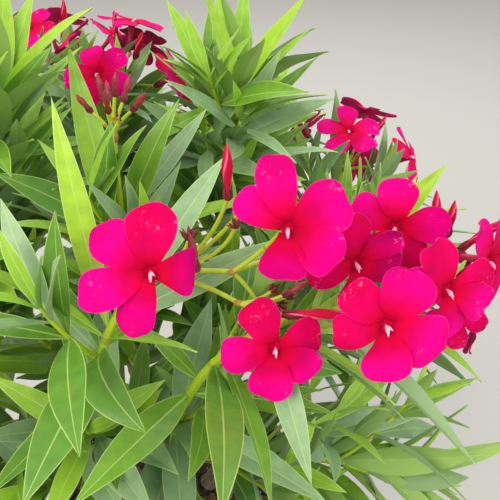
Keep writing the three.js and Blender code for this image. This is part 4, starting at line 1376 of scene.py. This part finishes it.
def make_boughs(context):
    bark = settings(context.scene.oleander_bark)
    _, shoots = plant()
    batch = Batch()
    for i, shoot in enumerate(shoots):
        scars = np.arange(0.04, shoot.bare, 0.075)
        span, radii = (0, shoot.bare), (BOUGH.radius, BOUGH.tip_radius)
        limb_skin(batch, shoot.curve, span, radii, LIMB_GRID.bough, scars, 0.05, i * 2.3, 0)
    # last year's wood is still green, with the first grey-brown streaks of bark
    deep, pale = blend(bark.bough, bark.cane, 0.6), blend(bark.bough, bark.pore, 0.5)
    mesh = batch.mesh("boughs", [bark_finish("green_bough_bark", bark.bough, deep, pale)])
    add_piece(mesh, numbered("bough", shoots))


def make_stems(context):
    bark = settings(context.scene.oleander_bark)
    _, shoots = plant()
    batch = Batch()
    stem_radii = (STEM.radius, STEM.tip_radius)
    twig_radii = (FINER.twig_radius * 1.2, FINER.twig_radius * 0.7)
    for i, shoot in enumerate(shoots):
        overlap = 1.5 / np.linalg.norm(shoot.curve[2] - shoot.curve[0])
        span = (shoot.bare - overlap, 1)
        knots = shoot.whorls
        limb_skin(batch, shoot.curve, span, stem_radii, LIMB_GRID.stem, knots, 0.025, i * 3.1)
        for k, twig in enumerate(shoot.twigs):
            knots = FINER.twig_whorls[:-1]
            limb_skin(batch, twig.curve, (0, 1), twig_radii, LIMB_GRID.twig, knots, 0.02, k * 1.3)
    # soft green skin, smooth and faintly streaked, a little browner where the leaves stand
    deep, pale = blend(bark.stem, bark.bough, 0.25), blend(bark.stem, (1, 1, 0.6, 1), 0.25)
    skin = bark_finish("young_stem_skin", bark.stem, deep, pale, 0.5, 0.00008)
    node_base, node_deep = blend(bark.stem, bark.bough, 0.6), blend(bark.stem, bark.joint, 0.5)
    nodes = tissue("stem_node_skin", node_base, node_deep, 0.6, 3)
    add_piece(batch.mesh("stems", [skin, nodes]))


# Leaves

LEAF_ROWS = np.array(
    [0, 0.03, 0.07, 0.13, 0.2, 0.28, 0.36, 0.45, 0.54, 0.63, 0.72, 0.8, 0.88, 0.945, 0.985]
)
# grey paints the sky's reflection on a spray's waxy upper sides
TINTS = ("young", "fresh", "mid", "deep", "grey")
LEAF_THICKNESS = 0.5
MARGIN = 0.45  # how wide the pale line along a leaf's edge is
# How each blade is varied: how slim it is, its midrib, its fold in degrees, its waves and how
# much lower its other edge is
BLADE = SimpleNamespace(
    slim=(0.88, 1.06), low_slim=1.06, top_slim=0.8, low_rib=0.66, tip_rib=0.14,
    fold=(6, 20), wave=(0.2, 0.8), waves=(8, 14), uneven=(0.6, 1.1), middle=0.55,
)


def leaf_materials(leaf):
    """Four finishes for each tint: blade, underside, and the midrib above and below."""
    made = []
    for name in TINTS:
        blade = getattr(leaf, name)
        vein = blend(blade, leaf.midrib, 0.5)
        back = blend(blade, leaf.underside, 0.55)
        back_deep, back_rib = blend(back, blade, 0.25), blend(back, leaf.midrib, 0.6)
        made += [
            # the waxy skin gives soft sky-coloured highlights along the blade
            leaf_finish(f"oleander_leaf_waxy_{name}", blade, vein),
            # the underside has no wax: paler, greyer and quite matt
            tissue(f"oleander_leaf_downy_underside_{name}", back, back_deep, 0.62, 12),
            # the midrib reads as a pale line along the leaf
            tissue(f"leaf_midrib_{name}", blend(blade, leaf.midrib, 0.66), vein, 0.45, 6),
            tissue(f"leaf_midrib_underside_{name}", back_rib, back, 0.5, 6),
        ]
    return made


def blade_shape(along):
    """Half a real blade's width: a short stalk, then a lance with its widest part midway."""
    blade = np.sin(np.pi * along**0.9).clip(0) ** 1.02
    return np.maximum(blade, np.where(along < 0.08, 0.1, 0))


def leaf_sections(leaf, draw):
    """Ten corners round the blade at each row: margins, blade, and the midrib's sides."""
    place, _, upper, side = leaf_frames(leaf, LEAF_ROWS)
    slim = mix(BLADE.low_slim, BLADE.top_slim, leaf.up) * draw(*BLADE.slim)
    half = blade_shape(LEAF_ROWS) * leaf.width / 2 * slim
    rib = mix(BLADE.low_rib, BLADE.tip_rib, LEAF_ROWS) * leaf.width / LEAF.width
    rib = np.minimum(rib, half * 0.8)
    fold = math.radians(draw(*BLADE.fold))
    wave = draw(*BLADE.wave) * leaf.width / LEAF.width
    ripples = np.sin(LEAF_ROWS * draw(*BLADE.waves) + draw(0, 2 * math.pi)) * wave
    edge_lift = half * math.tan(fold) + ripples
    lift = half * 0.62 * math.tan(fold) + ripples * 0.35 + LEAF_THICKNESS * 0.4
    other_edge_lift = edge_lift * draw(*BLADE.uneven)
    middle, rib_top, rib_back = BLADE.middle, LEAF_THICKNESS * 0.5, -LEAF_THICKNESS * 1.1
    edge = 1 - np.minimum(MARGIN / np.maximum(half, 0.01), 0.3)
    outwards = (edge - middle) / (1 - middle)
    corners = [
        (-half, edge_lift), (-half * edge, mix(lift, edge_lift, outwards)), (-half * middle, lift),
        (-rib, rib_top), (rib, rib_top),
        (half * middle, lift), (half * edge, mix(lift, other_edge_lift, outwards)),
        (half, other_edge_lift),
        (rib * 1.15, rib_back), (-rib * 1.15, rib_back),
    ]
    sections = [
        place + side * off[:, None] + upper * np.broadcast_to(high, half.shape)[:, None]
        for off, high in corners
    ]
    across_it = np.stack([*(off for off, _ in corners[:-2]), rib, -rib], 1)
    along = np.broadcast_to(LEAF_ROWS[:, None] * leaf.length, across_it.shape)
    return np.stack(sections, 1), np.stack([along, across_it], -1)


def tint_of(leaf, topped, draw):
    """The number of a spray's tint: leaves darken down the shoot and below flowers."""
    if leaf.tint:
        return TINTS.index(leaf.tint)
    tone = leaf.up * (0.62 if topped else 1) + draw(-0.24, 0.24) + (0.35 if leaf.young else 0)
    if tone > 0.98:
        kind = "young"
    elif tone > 0.6:
        kind = "fresh"
    # grey sprays below carry a painted reflection of the sky
    elif tone > 0.3:
        kind = "mid" if draw() < 0.66 else "grey"
    else:
        kind = "deep" if draw() < 0.55 else "grey"
    return TINTS.index(kind)


def add_leaf(batch, leaf, tint_number, draw):
    blade, under, midrib, under_rib = (tint_number * 4 + k for k in range(4))
    slots = np.array([midrib, blade, blade, midrib, blade, blade, midrib, under, under_rib, under])
    sections, pattern = leaf_sections(leaf, draw)
    tip = leaf_frames(leaf, [1.0])[0][0]
    batch.add(sections, leaf.root, tip, slots, pattern)


def spray_batch(limbs):
    """The leaves of some limbs, each spray in one tint."""
    batch = Batch()
    for draw, limb in limbs:
        for spray in filter(None, limb.sprays):
            tint_number = tint_of(spray[0], limb.top != "leaves", draw)
            for leaf in spray:
                add_leaf(batch, leaf, tint_number, draw)
    return batch


def make_leaves(context):
    finishes = leaf_materials(settings(context.scene.oleander_leaf))
    _, shoots = plant()
    grown = [(seeded(SEEDS.leaves + own), shoot) for own, shoot in enumerate(shoots)]
    mesh = spray_batch(grown).mesh("leaves", finishes, 60)
    add_piece(mesh, numbered("shoot", shoots))
    for half in (0, 1):
        twigs = [(draw, twig) for draw, shoot in grown[half::2] for twig in shoot.twigs]
        mesh = spray_batch(twigs).mesh(f"twig_leaves_{half + 1}", finishes, 60)
        add_piece(mesh)


# Flowers

PETAL = SimpleNamespace(
    claw=1.9, half_width=8.9, widest=0.68, claw_share=0.34, claw_power=1.3,
    round=2.3, sunk=2.7, sunk_length=5.4, gutter=0.5, sickle=0.14, slant=0.9,
)
PETAL_ROWS = np.array(
    [0, 0.05, 0.11, 0.18, 0.26, 0.35, 0.45, 0.55, 0.65, 0.75, 0.84, 0.91, 0.96, 0.985, 0.996, 0.9992, 1.0]
)
PETAL_COLUMNS = np.array([1, 0.95, 0.78, 0.53, 0.27, 0, -0.27, -0.53, -0.78, -0.95, -1])
PETAL_BACK = [9, 7, 5, 3, 1]  # the columns that the back has too
PETAL_ZONES = {"throat": 0, "inner": 1, "outer": 2, "rose": 3, "margin": 4, "back": 5}
PART_ZONES = {"tube": 0, "throat": 1, "plume": 2, "sepal": 3, "bud": 4, "seam": 5, "small_bud": 6}
STALK_ZONES = {"skin": 0, "joint": 1, "bract": 2}
# A sepal's width at shares of its length, in millimetres
SEPAL = [(0, 0.75), (0.35, 0.95), (0.75, 0.6), (1, 0.14)]
# the redder rose petals carry painted shade
SHADED_ROSE_SHARE = 0.3  # of the petals are redder than the rest


def petal_width(along):
    """Half a petal's width as a share: a narrow claw, widest past the middle, a round end."""
    widest, claw, power = PETAL.widest, PETAL.claw_share, PETAL.round
    inner = claw + (1 - claw) * np.sin(np.pi / 2 * (along / widest).clip(0, 1)) ** PETAL.claw_power
    end = (1 - ((along - widest) / (1 - widest)).clip(0, 1) ** power) ** (1 / power)
    return np.where(along < widest, inner, end)


def petal_sections(bloom, axes, turn, shape, thickness, draw):
    """Corners round a petal at each row: over its face from edge to edge, and back below."""
    right, ahead, face = axes
    start = PETAL.claw
    bend, fold, aside, longer, wider = shape[:5]
    turn = math.radians(turn + aside)
    length = (FLOWER.radius - start) * longer
    half = PETAL.half_width * wider
    bend = max(abs(math.radians(bend)), 0.02) * math.copysign(1, bend)
    fold = max(abs(math.radians(fold)), 0.02) * math.copysign(1, fold)
    rows, columns = PETAL_ROWS[:, None], PETAL_COLUMNS[None]
    # its outline is a little uneven
    lumps = np.sin(rows * draw(7, 12) + columns * 1.5 + draw(0, 6)) * draw(0.015, 0.045)
    half_here = half * petal_width(rows) * (1 + lumps)
    off = columns * half_here
    # the round end leans to one side, as in a pinwheel
    along = rows + draw(0.04, 0.16) * off / length * rows
    along = along + draw(0.01, 0.04) * np.cos(off / half * draw(2.5, 5) + draw(0, 6)) * rows**3
    curl = bend * along
    forward = start + length * np.sin(curl) / bend
    height = -length * (1 - np.cos(curl)) / bend
    bow = fold * columns
    wide = half_here / fold
    sideways = wide * np.sin(bow) - half * PETAL.sickle * rows**2
    drop = wide * (1 - np.cos(bow)) * rows
    wavy = np.sin(rows * draw(5, 9) + columns * 2 + draw(0, 6)) * abs(columns) ** 2 * rows
    wavy = wavy * draw(0.3, 0.9)
    sunk = PETAL.sunk * (1 - (rows * length / PETAL.sunk_length).clip(0, 1)) ** 2
    gutter = PETAL.gutter * (1 - columns**2) * np.sin(np.pi * rows.clip(0, 1))
    depth = height - drop + wavy + PETAL.slant * columns * rows - sunk - gutter
    out = math.cos(turn) * right + math.sin(turn) * ahead
    over = -math.sin(turn) * right + math.cos(turn) * ahead
    top = bloom.centre + forward[..., None] * out + sideways[..., None] * over + depth[..., None] * face
    normal = np.cos(curl)[..., None] * face + np.sin(curl)[..., None] * out
    below = (top - thickness * normal)[:, PETAL_BACK]
    pattern = np.stack(np.broadcast_arrays(start + along * length, off), -1)
    return np.concatenate([top, below], 1), np.concatenate([pattern, pattern[:, PETAL_BACK]], 1)


def petal_slots(outer):
    """The finish of each face of a petal: zones outwards on top, one plain back."""
    rows, tops = len(PETAL_ROWS) - 2, len(PETAL_COLUMNS) - 1
    slots = np.full((rows, tops + len(PETAL_BACK) + 1), PETAL_ZONES["back"])
    slots[:3, :tops] = PETAL_ZONES["throat"]
    slots[3:5, :tops] = PETAL_ZONES["inner"]
    slots[5:, :tops] = PETAL_ZONES[outer]
    slots[5:, [0, tops - 1]] = PETAL_ZONES["margin"]
    slots[-2:, :tops] = PETAL_ZONES["margin"]
    return slots


def petal_shape(draw):
    """How a petal bends back, folds and turns aside, its length, width and colour."""
    # a share of the petals get the redder rose colour, which is painted shade
    zone = "rose" if draw() < SHADED_ROSE_SHARE else "outer"
    return draw(-8, 34), draw(-26, 36), draw(-6, 6), draw(0.94, 1.06), draw(0.9, 1.14), zone


def add_petal(petals, bloom, axes, turn, shape, thickness, draw):
    corners, pattern = petal_sections(bloom, axes, turn, shape, thickness, draw)
    first, last = corners[0].mean(0), corners[-1].mean(0)
    petals.add(corners[:-1], first, last, petal_slots(shape[5]), pattern[:-1])


def add_turned(batch, centre, axis, profile, sides, slots):
    """A turned shape about an axis: profile lists (radius, height), its ends on the axis."""
    radii = [radius for radius, _ in profile]
    points = [centre + axis * height for _, height in profile]
    skin = rings(points[1:-1], [axis] * (len(points) - 2), radii[1:-1], sides)
    batch.add(skin, points[0], points[-1], slots)


def add_spindle(batch, points, radii, sides, slot, flat=1.0, twist=0.0):
    """A slender body along points, wider one way than the other if flat is below 1."""
    points = np.array(points)
    headings = np.gradient(points, axis=0)
    headings /= np.linalg.norm(headings, axis=1, keepdims=True)
    turns = turns_of(sides)
    shape = np.sqrt(np.cos(turns) ** 2 + (flat * np.sin(turns)) ** 2)
    skin = []
    right = across(headings[0])[0]
    for i, (point, heading, radius) in enumerate(zip(points, headings, radii)):
        right = unit(right - heading * right.dot(heading))
        spun = right * math.cos(twist * i) + np.cross(heading, right) * math.sin(twist * i)
        skin.append(rings([point], [heading], [radius * shape], sides, spun)[0])
    first = points[0] - headings[0] * radii[0]
    last = points[-1] + headings[-1] * radii[-1] * 1.5
    batch.add(np.array(skin), first, last, slot)


def add_sepals(batch, foot, axis, radius, length, draw, spread=12):
    """Five narrow pointed sepals pressed against the foot of a flower or bud."""
    right, ahead = across(axis)
    spin = draw(0, 72)
    for k in range(5):
        turn = math.radians(spin + 72 * k)
        out = right * math.cos(turn) + ahead * math.sin(turn)
        tilt = math.radians(spread * draw(0.5, 1.6))
        way = axis * math.cos(tilt) + out * math.sin(tilt)
        root = foot + out * radius * 0.6 - axis * 0.6
        points = [root + way * length * share for share, _ in SEPAL]
        points[1] = points[1] + out * 0.35
        add_spindle(batch, points, [width for _, width in SEPAL], 6, PART_ZONES["sepal"], 0.5)


TUBE = [
    (0, -21), (1.3, -21), (1.5, -17), (1.7, -12), (2.1, -7), (2.7, -3.8), (2.8, -2.6),
    (2.4, -2.5), (1.7, -3.1), (0.9, -3.5), (0, -3.6),
]


def add_plume(parts, bloom, right, draw):
    """The small pale plume of the stamens, just over the throat's lower edge."""
    centre, face = bloom.centre, bloom.way
    low = face * face[2] - UP
    down = unit(low) if np.linalg.norm(low) > 0.3 else right
    for share, way in ((1.0, down), (0.6, unit(down + right * draw(-1.6, 1.6)))):
        root = centre - face * 3.2
        mid = root + face * 3.2 + way * 0.6 * share
        end = centre + face * draw(0.4, 1.0) + way * 3.3 * share
        path = spine(np.array([root, mid, end]), 0, 1, 6)
        width = np.array([0.3, 0.5, 0.8, 1.0, 1.05, 0.85, 0.4]) * share
        add_spindle(parts, path, width, 7, PART_ZONES["plume"], 0.6, 0.35)


def add_flower(petals, parts, bloom, thickness, draw):
    face = bloom.way
    right = leaning(face, 90, bloom.roll)
    axes = (right, np.cross(face, right), face)
    for p in range(FLOWER.petals):
        shape = bloom.petals[p] if bloom.petals else petal_shape(draw)
        add_petal(petals, bloom, axes, 72 * p - 1, shape, thickness, draw)
    slots = [[PART_ZONES["tube"]]] * 5 + [[PART_ZONES["throat"]]] * 3
    add_turned(parts, bloom.centre, face, TUBE, 12, slots)
    add_sepals(parts, bloom.foot, face, 1.5, 6.5, draw)
    add_plume(parts, bloom, right, draw)


# How wide a bud is at shares of its length
BUD_SWELL = [
    (0, 0.5), (0.08, 0.56), (0.2, 0.62), (0.34, 0.78), (0.48, 0.98), (0.6, 1.0), (0.72, 0.86),
    (0.83, 0.6), (0.92, 0.34), (0.98, 0.14),
]


def add_bud(parts, bud, draw):
    """A rolled bud: its seams wind round it to the tip, which is drawn to a point."""
    small = bud.size < BUD.small
    radius = BUD.radius * math.sqrt(bud.size) * 0.86
    sides = 15
    number = np.arange(sides)
    ridge = np.where(number % 3 == 0, 0.9, 1.0)
    right, ahead = across(bud.way)
    skin = []
    for share, swollen in BUD_SWELL:
        angle = turns_of(sides) + share * math.radians(BUD.twist)
        ring = circle(angle, right, ahead) * (radius * swollen * ridge)[:, None]
        skin.append(bud_point(bud, share) + ring)
    plain = PART_ZONES["small_bud" if small else "bud"]
    seam = plain if small else PART_ZONES["seam"]
    slots = np.where(number % 6 == 0, seam, plain)
    parts.add(np.array(skin), bud.foot, bud_point(bud, 1.0), slots)
    add_sepals(parts, bud.foot, bud.way, radius * 0.55, 6.5 * math.sqrt(bud.size), draw, 7)


def add_calyx(parts, spent, draw):
    """A withered calyx: dark sepals that stand open round a dry stub."""
    foot, way, share = spent.foot, spent.way, spent.size
    points = [foot + way * step * share for step in (0, 3, 7, 11)]
    add_spindle(parts, points, np.array([1.6, 2.2, 1.9, 0.7]) * share, 8, PART_ZONES["sepal"])
    add_sepals(parts, foot, way, 2.2 * share, 13 * share, draw, 34)


def add_stalk(batch, curve, draw):
    """A flower stalk with one soft joint and a small dark bract beside it."""
    joint = draw(0.42, 0.6)
    radii = (STALK.radius * 1.2, STALK.tip_radius * 1.1)
    limb_skin(batch, curve, (0, 1), radii, LIMB_GRID.stalk, [joint], 0.03, joint * 9)
    place, heading = point_at(curve, joint), heading_at(curve, joint)
    out = leaning(heading, 30, draw(0, 360))
    start = place + leaning(heading, 90, 0) * 0.2
    points = [start + out * step for step in (0, 1.4, 3.0, 4.2)]
    add_spindle(batch, points, [0.5, 0.75, 0.5, 0.15], 5, STALK_ZONES["bract"], 0.5)


def add_swelling(batch, end, radius):
    points = [end.foot + end.way * step * radius for step in (-1.5, -0.7, 0, 0.6, 1.2)]
    radii = np.array([0.7, 0.94, 1.1, 0.95, 0.5]) * radius
    add_spindle(batch, points, radii, 10, STALK_ZONES["joint"])


def add_stalks(batch, shoot, draw):
    for end in [*shoot.blooms, *shoot.buds, *shoot.spent]:
        add_stalk(batch, stalk_curve(shoot, end), draw)
    for fork in shoot.forks:
        radii = (STALK.radius * 1.4, STALK.radius * 1.25)
        limb_skin(batch, stalk_curve(shoot, fork), (0, 1), radii, LIMB_GRID.stalk, [], 0.03, 1.0)
        add_swelling(batch, fork, STALK.fork_swelling)
    if shoot.buds:
        add_swelling(batch, shoot.hub, STALK.hub_swelling)


def make_stalks(context):
    flower = settings(context.scene.oleander_flower)
    stalk, sepal, joint = flower.stalk, flower.sepal, tuple(context.scene.oleander_bark.joint)
    batch = Batch()
    _, shoots = plant()
    for i, shoot in enumerate(shoots):
        add_stalks(batch, shoot, seeded(SEEDS.stalks + i))
    skins = [
        # soft, fleshy and almost translucent, so it keeps a gentle shine
        tissue("flower_stalk_skin", stalk, blend(stalk, (0.35, 0.4, 0.05, 1), 0.4), 0.48, 5),
        # a drier skin where the stalks part, browner than the rest
        tissue("stalk_joint_skin", blend(joint, stalk, 0.35), joint, 0.6, 2),
        tissue("dry_bract_skin", blend(sepal, joint, 0.4), sepal, 0.65, 2),
    ]
    add_piece(batch.mesh("flower_stalks", skins))


def petal_finishes(flower):
    """One finish for each zone, so that a petal reddens towards the throat."""
    inner, outer, graze_and_highlight = flower.inner, flower.outer, flower.graze_and_highlight
    turning = blend(inner, outer, 0.3)
    end = FLOWER.radius
    # petals are velvety: no shine, and small pale patches near their ends that are partly grazes where they
    # have rubbed and partly painted highlight
    return [
        petal_finish("petal_skin_throat", flower.throat, inner, 2.5, 6),
        petal_finish("petal_skin_inner", inner, turning, 6, 10),
        petal_finish("petal_skin_outer_magenta", turning, outer, 10, 17, graze_and_highlight),
        # the rose copy is the outer colour made redder: painted shade for petals in shade
        petal_finish("petal_skin_outer_rose", turning, flower.rose, 10, 17, graze_and_highlight),
        petal_finish("petal_skin_margin", blend(turning, outer, 0.6), flower.margin, 12, end + 4),
        petal_finish("petal_skin_back", blend(flower.back, inner, 0.4), flower.back, 4, end),
    ]


def part_finishes(flower):
    """One finish for each zone of the tubes, plumes, sepals and buds."""
    rows = [
        ("flower_tube_skin", flower.tube, BLACK, 0.4, 0.55, 3, {}),
        ("flower_throat_skin", flower.throat, flower.inner, 0.4, 0.8, 2, {"Specular_IOR_Level": 0.08}),
        ("stamen_plume_down", flower.plume, flower.outer, 0.2, 0.6, 1.2, {}),
        ("sepal_skin", flower.sepal, flower.small_bud, 0.5, 0.5, 2, {}),
        ("bud_skin", flower.bud, flower.throat, 0.45, 0.6, 3, {"Specular_IOR_Level": 0.2}),
        ("bud_seam_skin", flower.seam, flower.bud, 0.5, 0.55, 3, {}),
        ("small_bud_skin", flower.small_bud, flower.sepal, 0.5, 0.5, 2, {}),
    ]
    return [
        tissue(name, base, blend(base, other, share), roughness, lump_mm, **sockets)
        for name, base, other, share, roughness, lump_mm, sockets in rows
    ]


def make_flowers(context):
    flower = settings(context.scene.oleander_flower)
    petals, parts = Batch(), Batch()
    _, shoots = plant()
    for i, shoot in enumerate(shoots):
        draw = seeded(SEEDS.flowers + i)
        for bloom in shoot.blooms:
            add_flower(petals, parts, bloom, flower.petal_thickness / MM, draw)
        for bud in shoot.buds:
            add_bud(parts, bud, draw)
        for spent in shoot.spent:
            add_late = add_calyx if spent.size < BUD.withered else add_bud
            add_late(parts, spent, draw)
    add_piece(petals.mesh("petals", petal_finishes(flower), 70))
    add_piece(parts.mesh("flower_parts", part_finishes(flower), 70))


# Stage

CAMERA = SimpleNamespace(place=(0.075, -0.287, 0.6986), pitch=38, view=49.5)
# The studio in metres: half the floor's width, the height that the lights look at, how strong
# the even light is, and each light's name, place, width and colour
STAGE = SimpleNamespace(floor=9, crown=0.42, sky=0.85)
LIGHTS = [
    ("key", (-0.9, -1.1, 1.9), 1.4, "#FFF8EC"),
    ("fill", (1.5, -0.9, 1.3), 1.6, "#F8FAFF"),
    ("back", (0.3, 1.6, 1.9), 1.4, "#FFFFFF"),
]


def make_stage(context):
    stage = settings(context.scene.oleander_stage)
    half = STAGE.floor
    mesh = bpy.data.meshes.new("floor")
    corners = [(-half, -half, 0), (half, -half, 0), (half, half, 0), (-half, half, 0)]
    mesh.from_pydata(corners, [], [(0, 1, 2, 3)])
    mesh.materials.append(new_material("studio_floor_matt", 0.9, Base_Color=stage.floor)[0])
    new_object("floor", mesh)
    world = bpy.data.worlds.new("studio")
    context.scene.world = world
    world.use_nodes = True
    sky = world.node_tree.nodes["Background"]
    sky.inputs["Color"].default_value = stage.sky
    sky.inputs["Strength"].default_value = STAGE.sky
    for name, place, width, colour in LIGHTS:
        add_light(name, place, width, getattr(stage, name), colour)
    add_camera()
    context.scene.view_settings.view_transform = "Standard"
    context.scene.view_settings.look = "None"


def add_light(name, place, width, power, colour):
    """A soft square light that looks at the crown."""
    data = bpy.data.lights.new(name, "AREA")
    data.shape = "SQUARE"
    data.size = width
    data.energy = power
    data.color = linear(colour)[:3]
    light = new_object(name, data)
    light.location = place
    x, y, z = UP * STAGE.crown - np.array(place)
    light.rotation_euler = (math.atan2(math.hypot(x, y), -z), 0, math.atan2(y, x) - math.pi / 2)


def add_camera():
    data = bpy.data.cameras.new("camera")
    data.angle = math.radians(CAMERA.view)
    data.clip_start = 0.01
    camera = new_object("camera", data)
    camera.location = CAMERA.place
    camera.rotation_euler = (math.radians(90 - CAMERA.pitch), 0, 0)
    bpy.context.scene.camera = camera


# Operators

class MakeStage(bpy.types.Operator):
    """Make the floor, the lights and the camera"""

    bl_idname = "oleander.make_stage"
    bl_label = "Stage"

    def execute(self, context):
        make_stage(context)
        return {"FINISHED"}


class MakePot(bpy.types.Operator):
    """Make the nursery pot with its drain holes and the ribs under its rim"""

    bl_idname = "oleander.make_pot"
    bl_label = "Pot"

    def execute(self, context):
        make_pot(context)
        return {"FINISHED"}


class MakeSoil(bpy.types.Operator):
    """Make the soil and what lies loose on it"""

    bl_idname = "oleander.make_soil"
    bl_label = "Soil"

    def execute(self, context):
        make_soil(context)
        return {"FINISHED"}


class MakeCanes(bpy.types.Operator):
    """Make the woody canes and their cork pores"""

    bl_idname = "oleander.make_canes"
    bl_label = "Canes"

    def execute(self, context):
        make_canes(context)
        return {"FINISHED"}


class MakeBoughs(bpy.types.Operator):
    """Make the bare boughs between the canes and the leaves"""

    bl_idname = "oleander.make_boughs"
    bl_label = "Boughs"

    def execute(self, context):
        make_boughs(context)
        return {"FINISHED"}


class MakeStems(bpy.types.Operator):
    """Make the leafy stems and their side twigs"""

    bl_idname = "oleander.make_stems"
    bl_label = "Stems"

    def execute(self, context):
        make_stems(context)
        return {"FINISHED"}


class MakeLeaves(bpy.types.Operator):
    """Make the leaves of the stems and of the side twigs"""

    bl_idname = "oleander.make_leaves"
    bl_label = "Leaves"

    def execute(self, context):
        make_leaves(context)
        return {"FINISHED"}


class MakeStalks(bpy.types.Operator):
    """Make the stalks that carry the flowers and buds"""

    bl_idname = "oleander.make_stalks"
    bl_label = "Flower stalks"

    def execute(self, context):
        make_stalks(context)
        return {"FINISHED"}


class MakeFlowers(bpy.types.Operator):
    """Make the flowers, the buds and the withered calyces"""

    bl_idname = "oleander.make_flowers"
    bl_label = "Flowers"

    def execute(self, context):
        make_flowers(context)
        return {"FINISHED"}


OPERATORS = (
    MakeStage, MakePot, MakeSoil, MakeCanes, MakeBoughs, MakeStems, MakeLeaves, MakeStalks, MakeFlowers,
)
SETTINGS = {
    "oleander_stage": OleanderStageSettings,
    "oleander_pot": OleanderPotSettings,
    "oleander_soil": OleanderSoilSettings,
    "oleander_bark": OleanderBarkSettings,
    "oleander_leaf": OleanderLeafSettings,
    "oleander_flower": OleanderFlowerSettings,
}


class OleanderPanel(bpy.types.Panel):
    """The plant's operators and settings in the sidebar"""

    bl_idname = "VIEW3D_PT_oleander"
    bl_label = "Potted oleander"
    bl_space_type = "VIEW_3D"
    bl_region_type = "UI"
    bl_category = "Oleander"

    def draw(self, context):
        for operator in OPERATORS:
            self.layout.operator(operator.bl_idname)
        for name, group in SETTINGS.items():
            box = self.layout.box()
            box.label(text=name.replace("_", " ").capitalize())
            for field in group.__annotations__:
                box.prop(getattr(context.scene, name), field)


def register():
    for kind in (*SETTINGS.values(), *OPERATORS, OleanderPanel):
        bpy.utils.register_class(kind)
    for name, group in SETTINGS.items():
        setattr(bpy.types.Scene, name, PointerProperty(type=group))


def unregister():
    for name in SETTINGS:
        delattr(bpy.types.Scene, name)
    for kind in reversed((*SETTINGS.values(), *OPERATORS, OleanderPanel)):
        bpy.utils.unregister_class(kind)


def main():
    register()
    bpy.ops.oleander.make_stage()
    bpy.ops.oleander.make_pot()
    bpy.ops.oleander.make_soil()
    bpy.ops.oleander.make_canes()
    bpy.ops.oleander.make_boughs()
    bpy.ops.oleander.make_stems()
    bpy.ops.oleander.make_leaves()
    bpy.ops.oleander.make_stalks()
    bpy.ops.oleander.make_flowers()


if __name__ == "__main__":
    main()
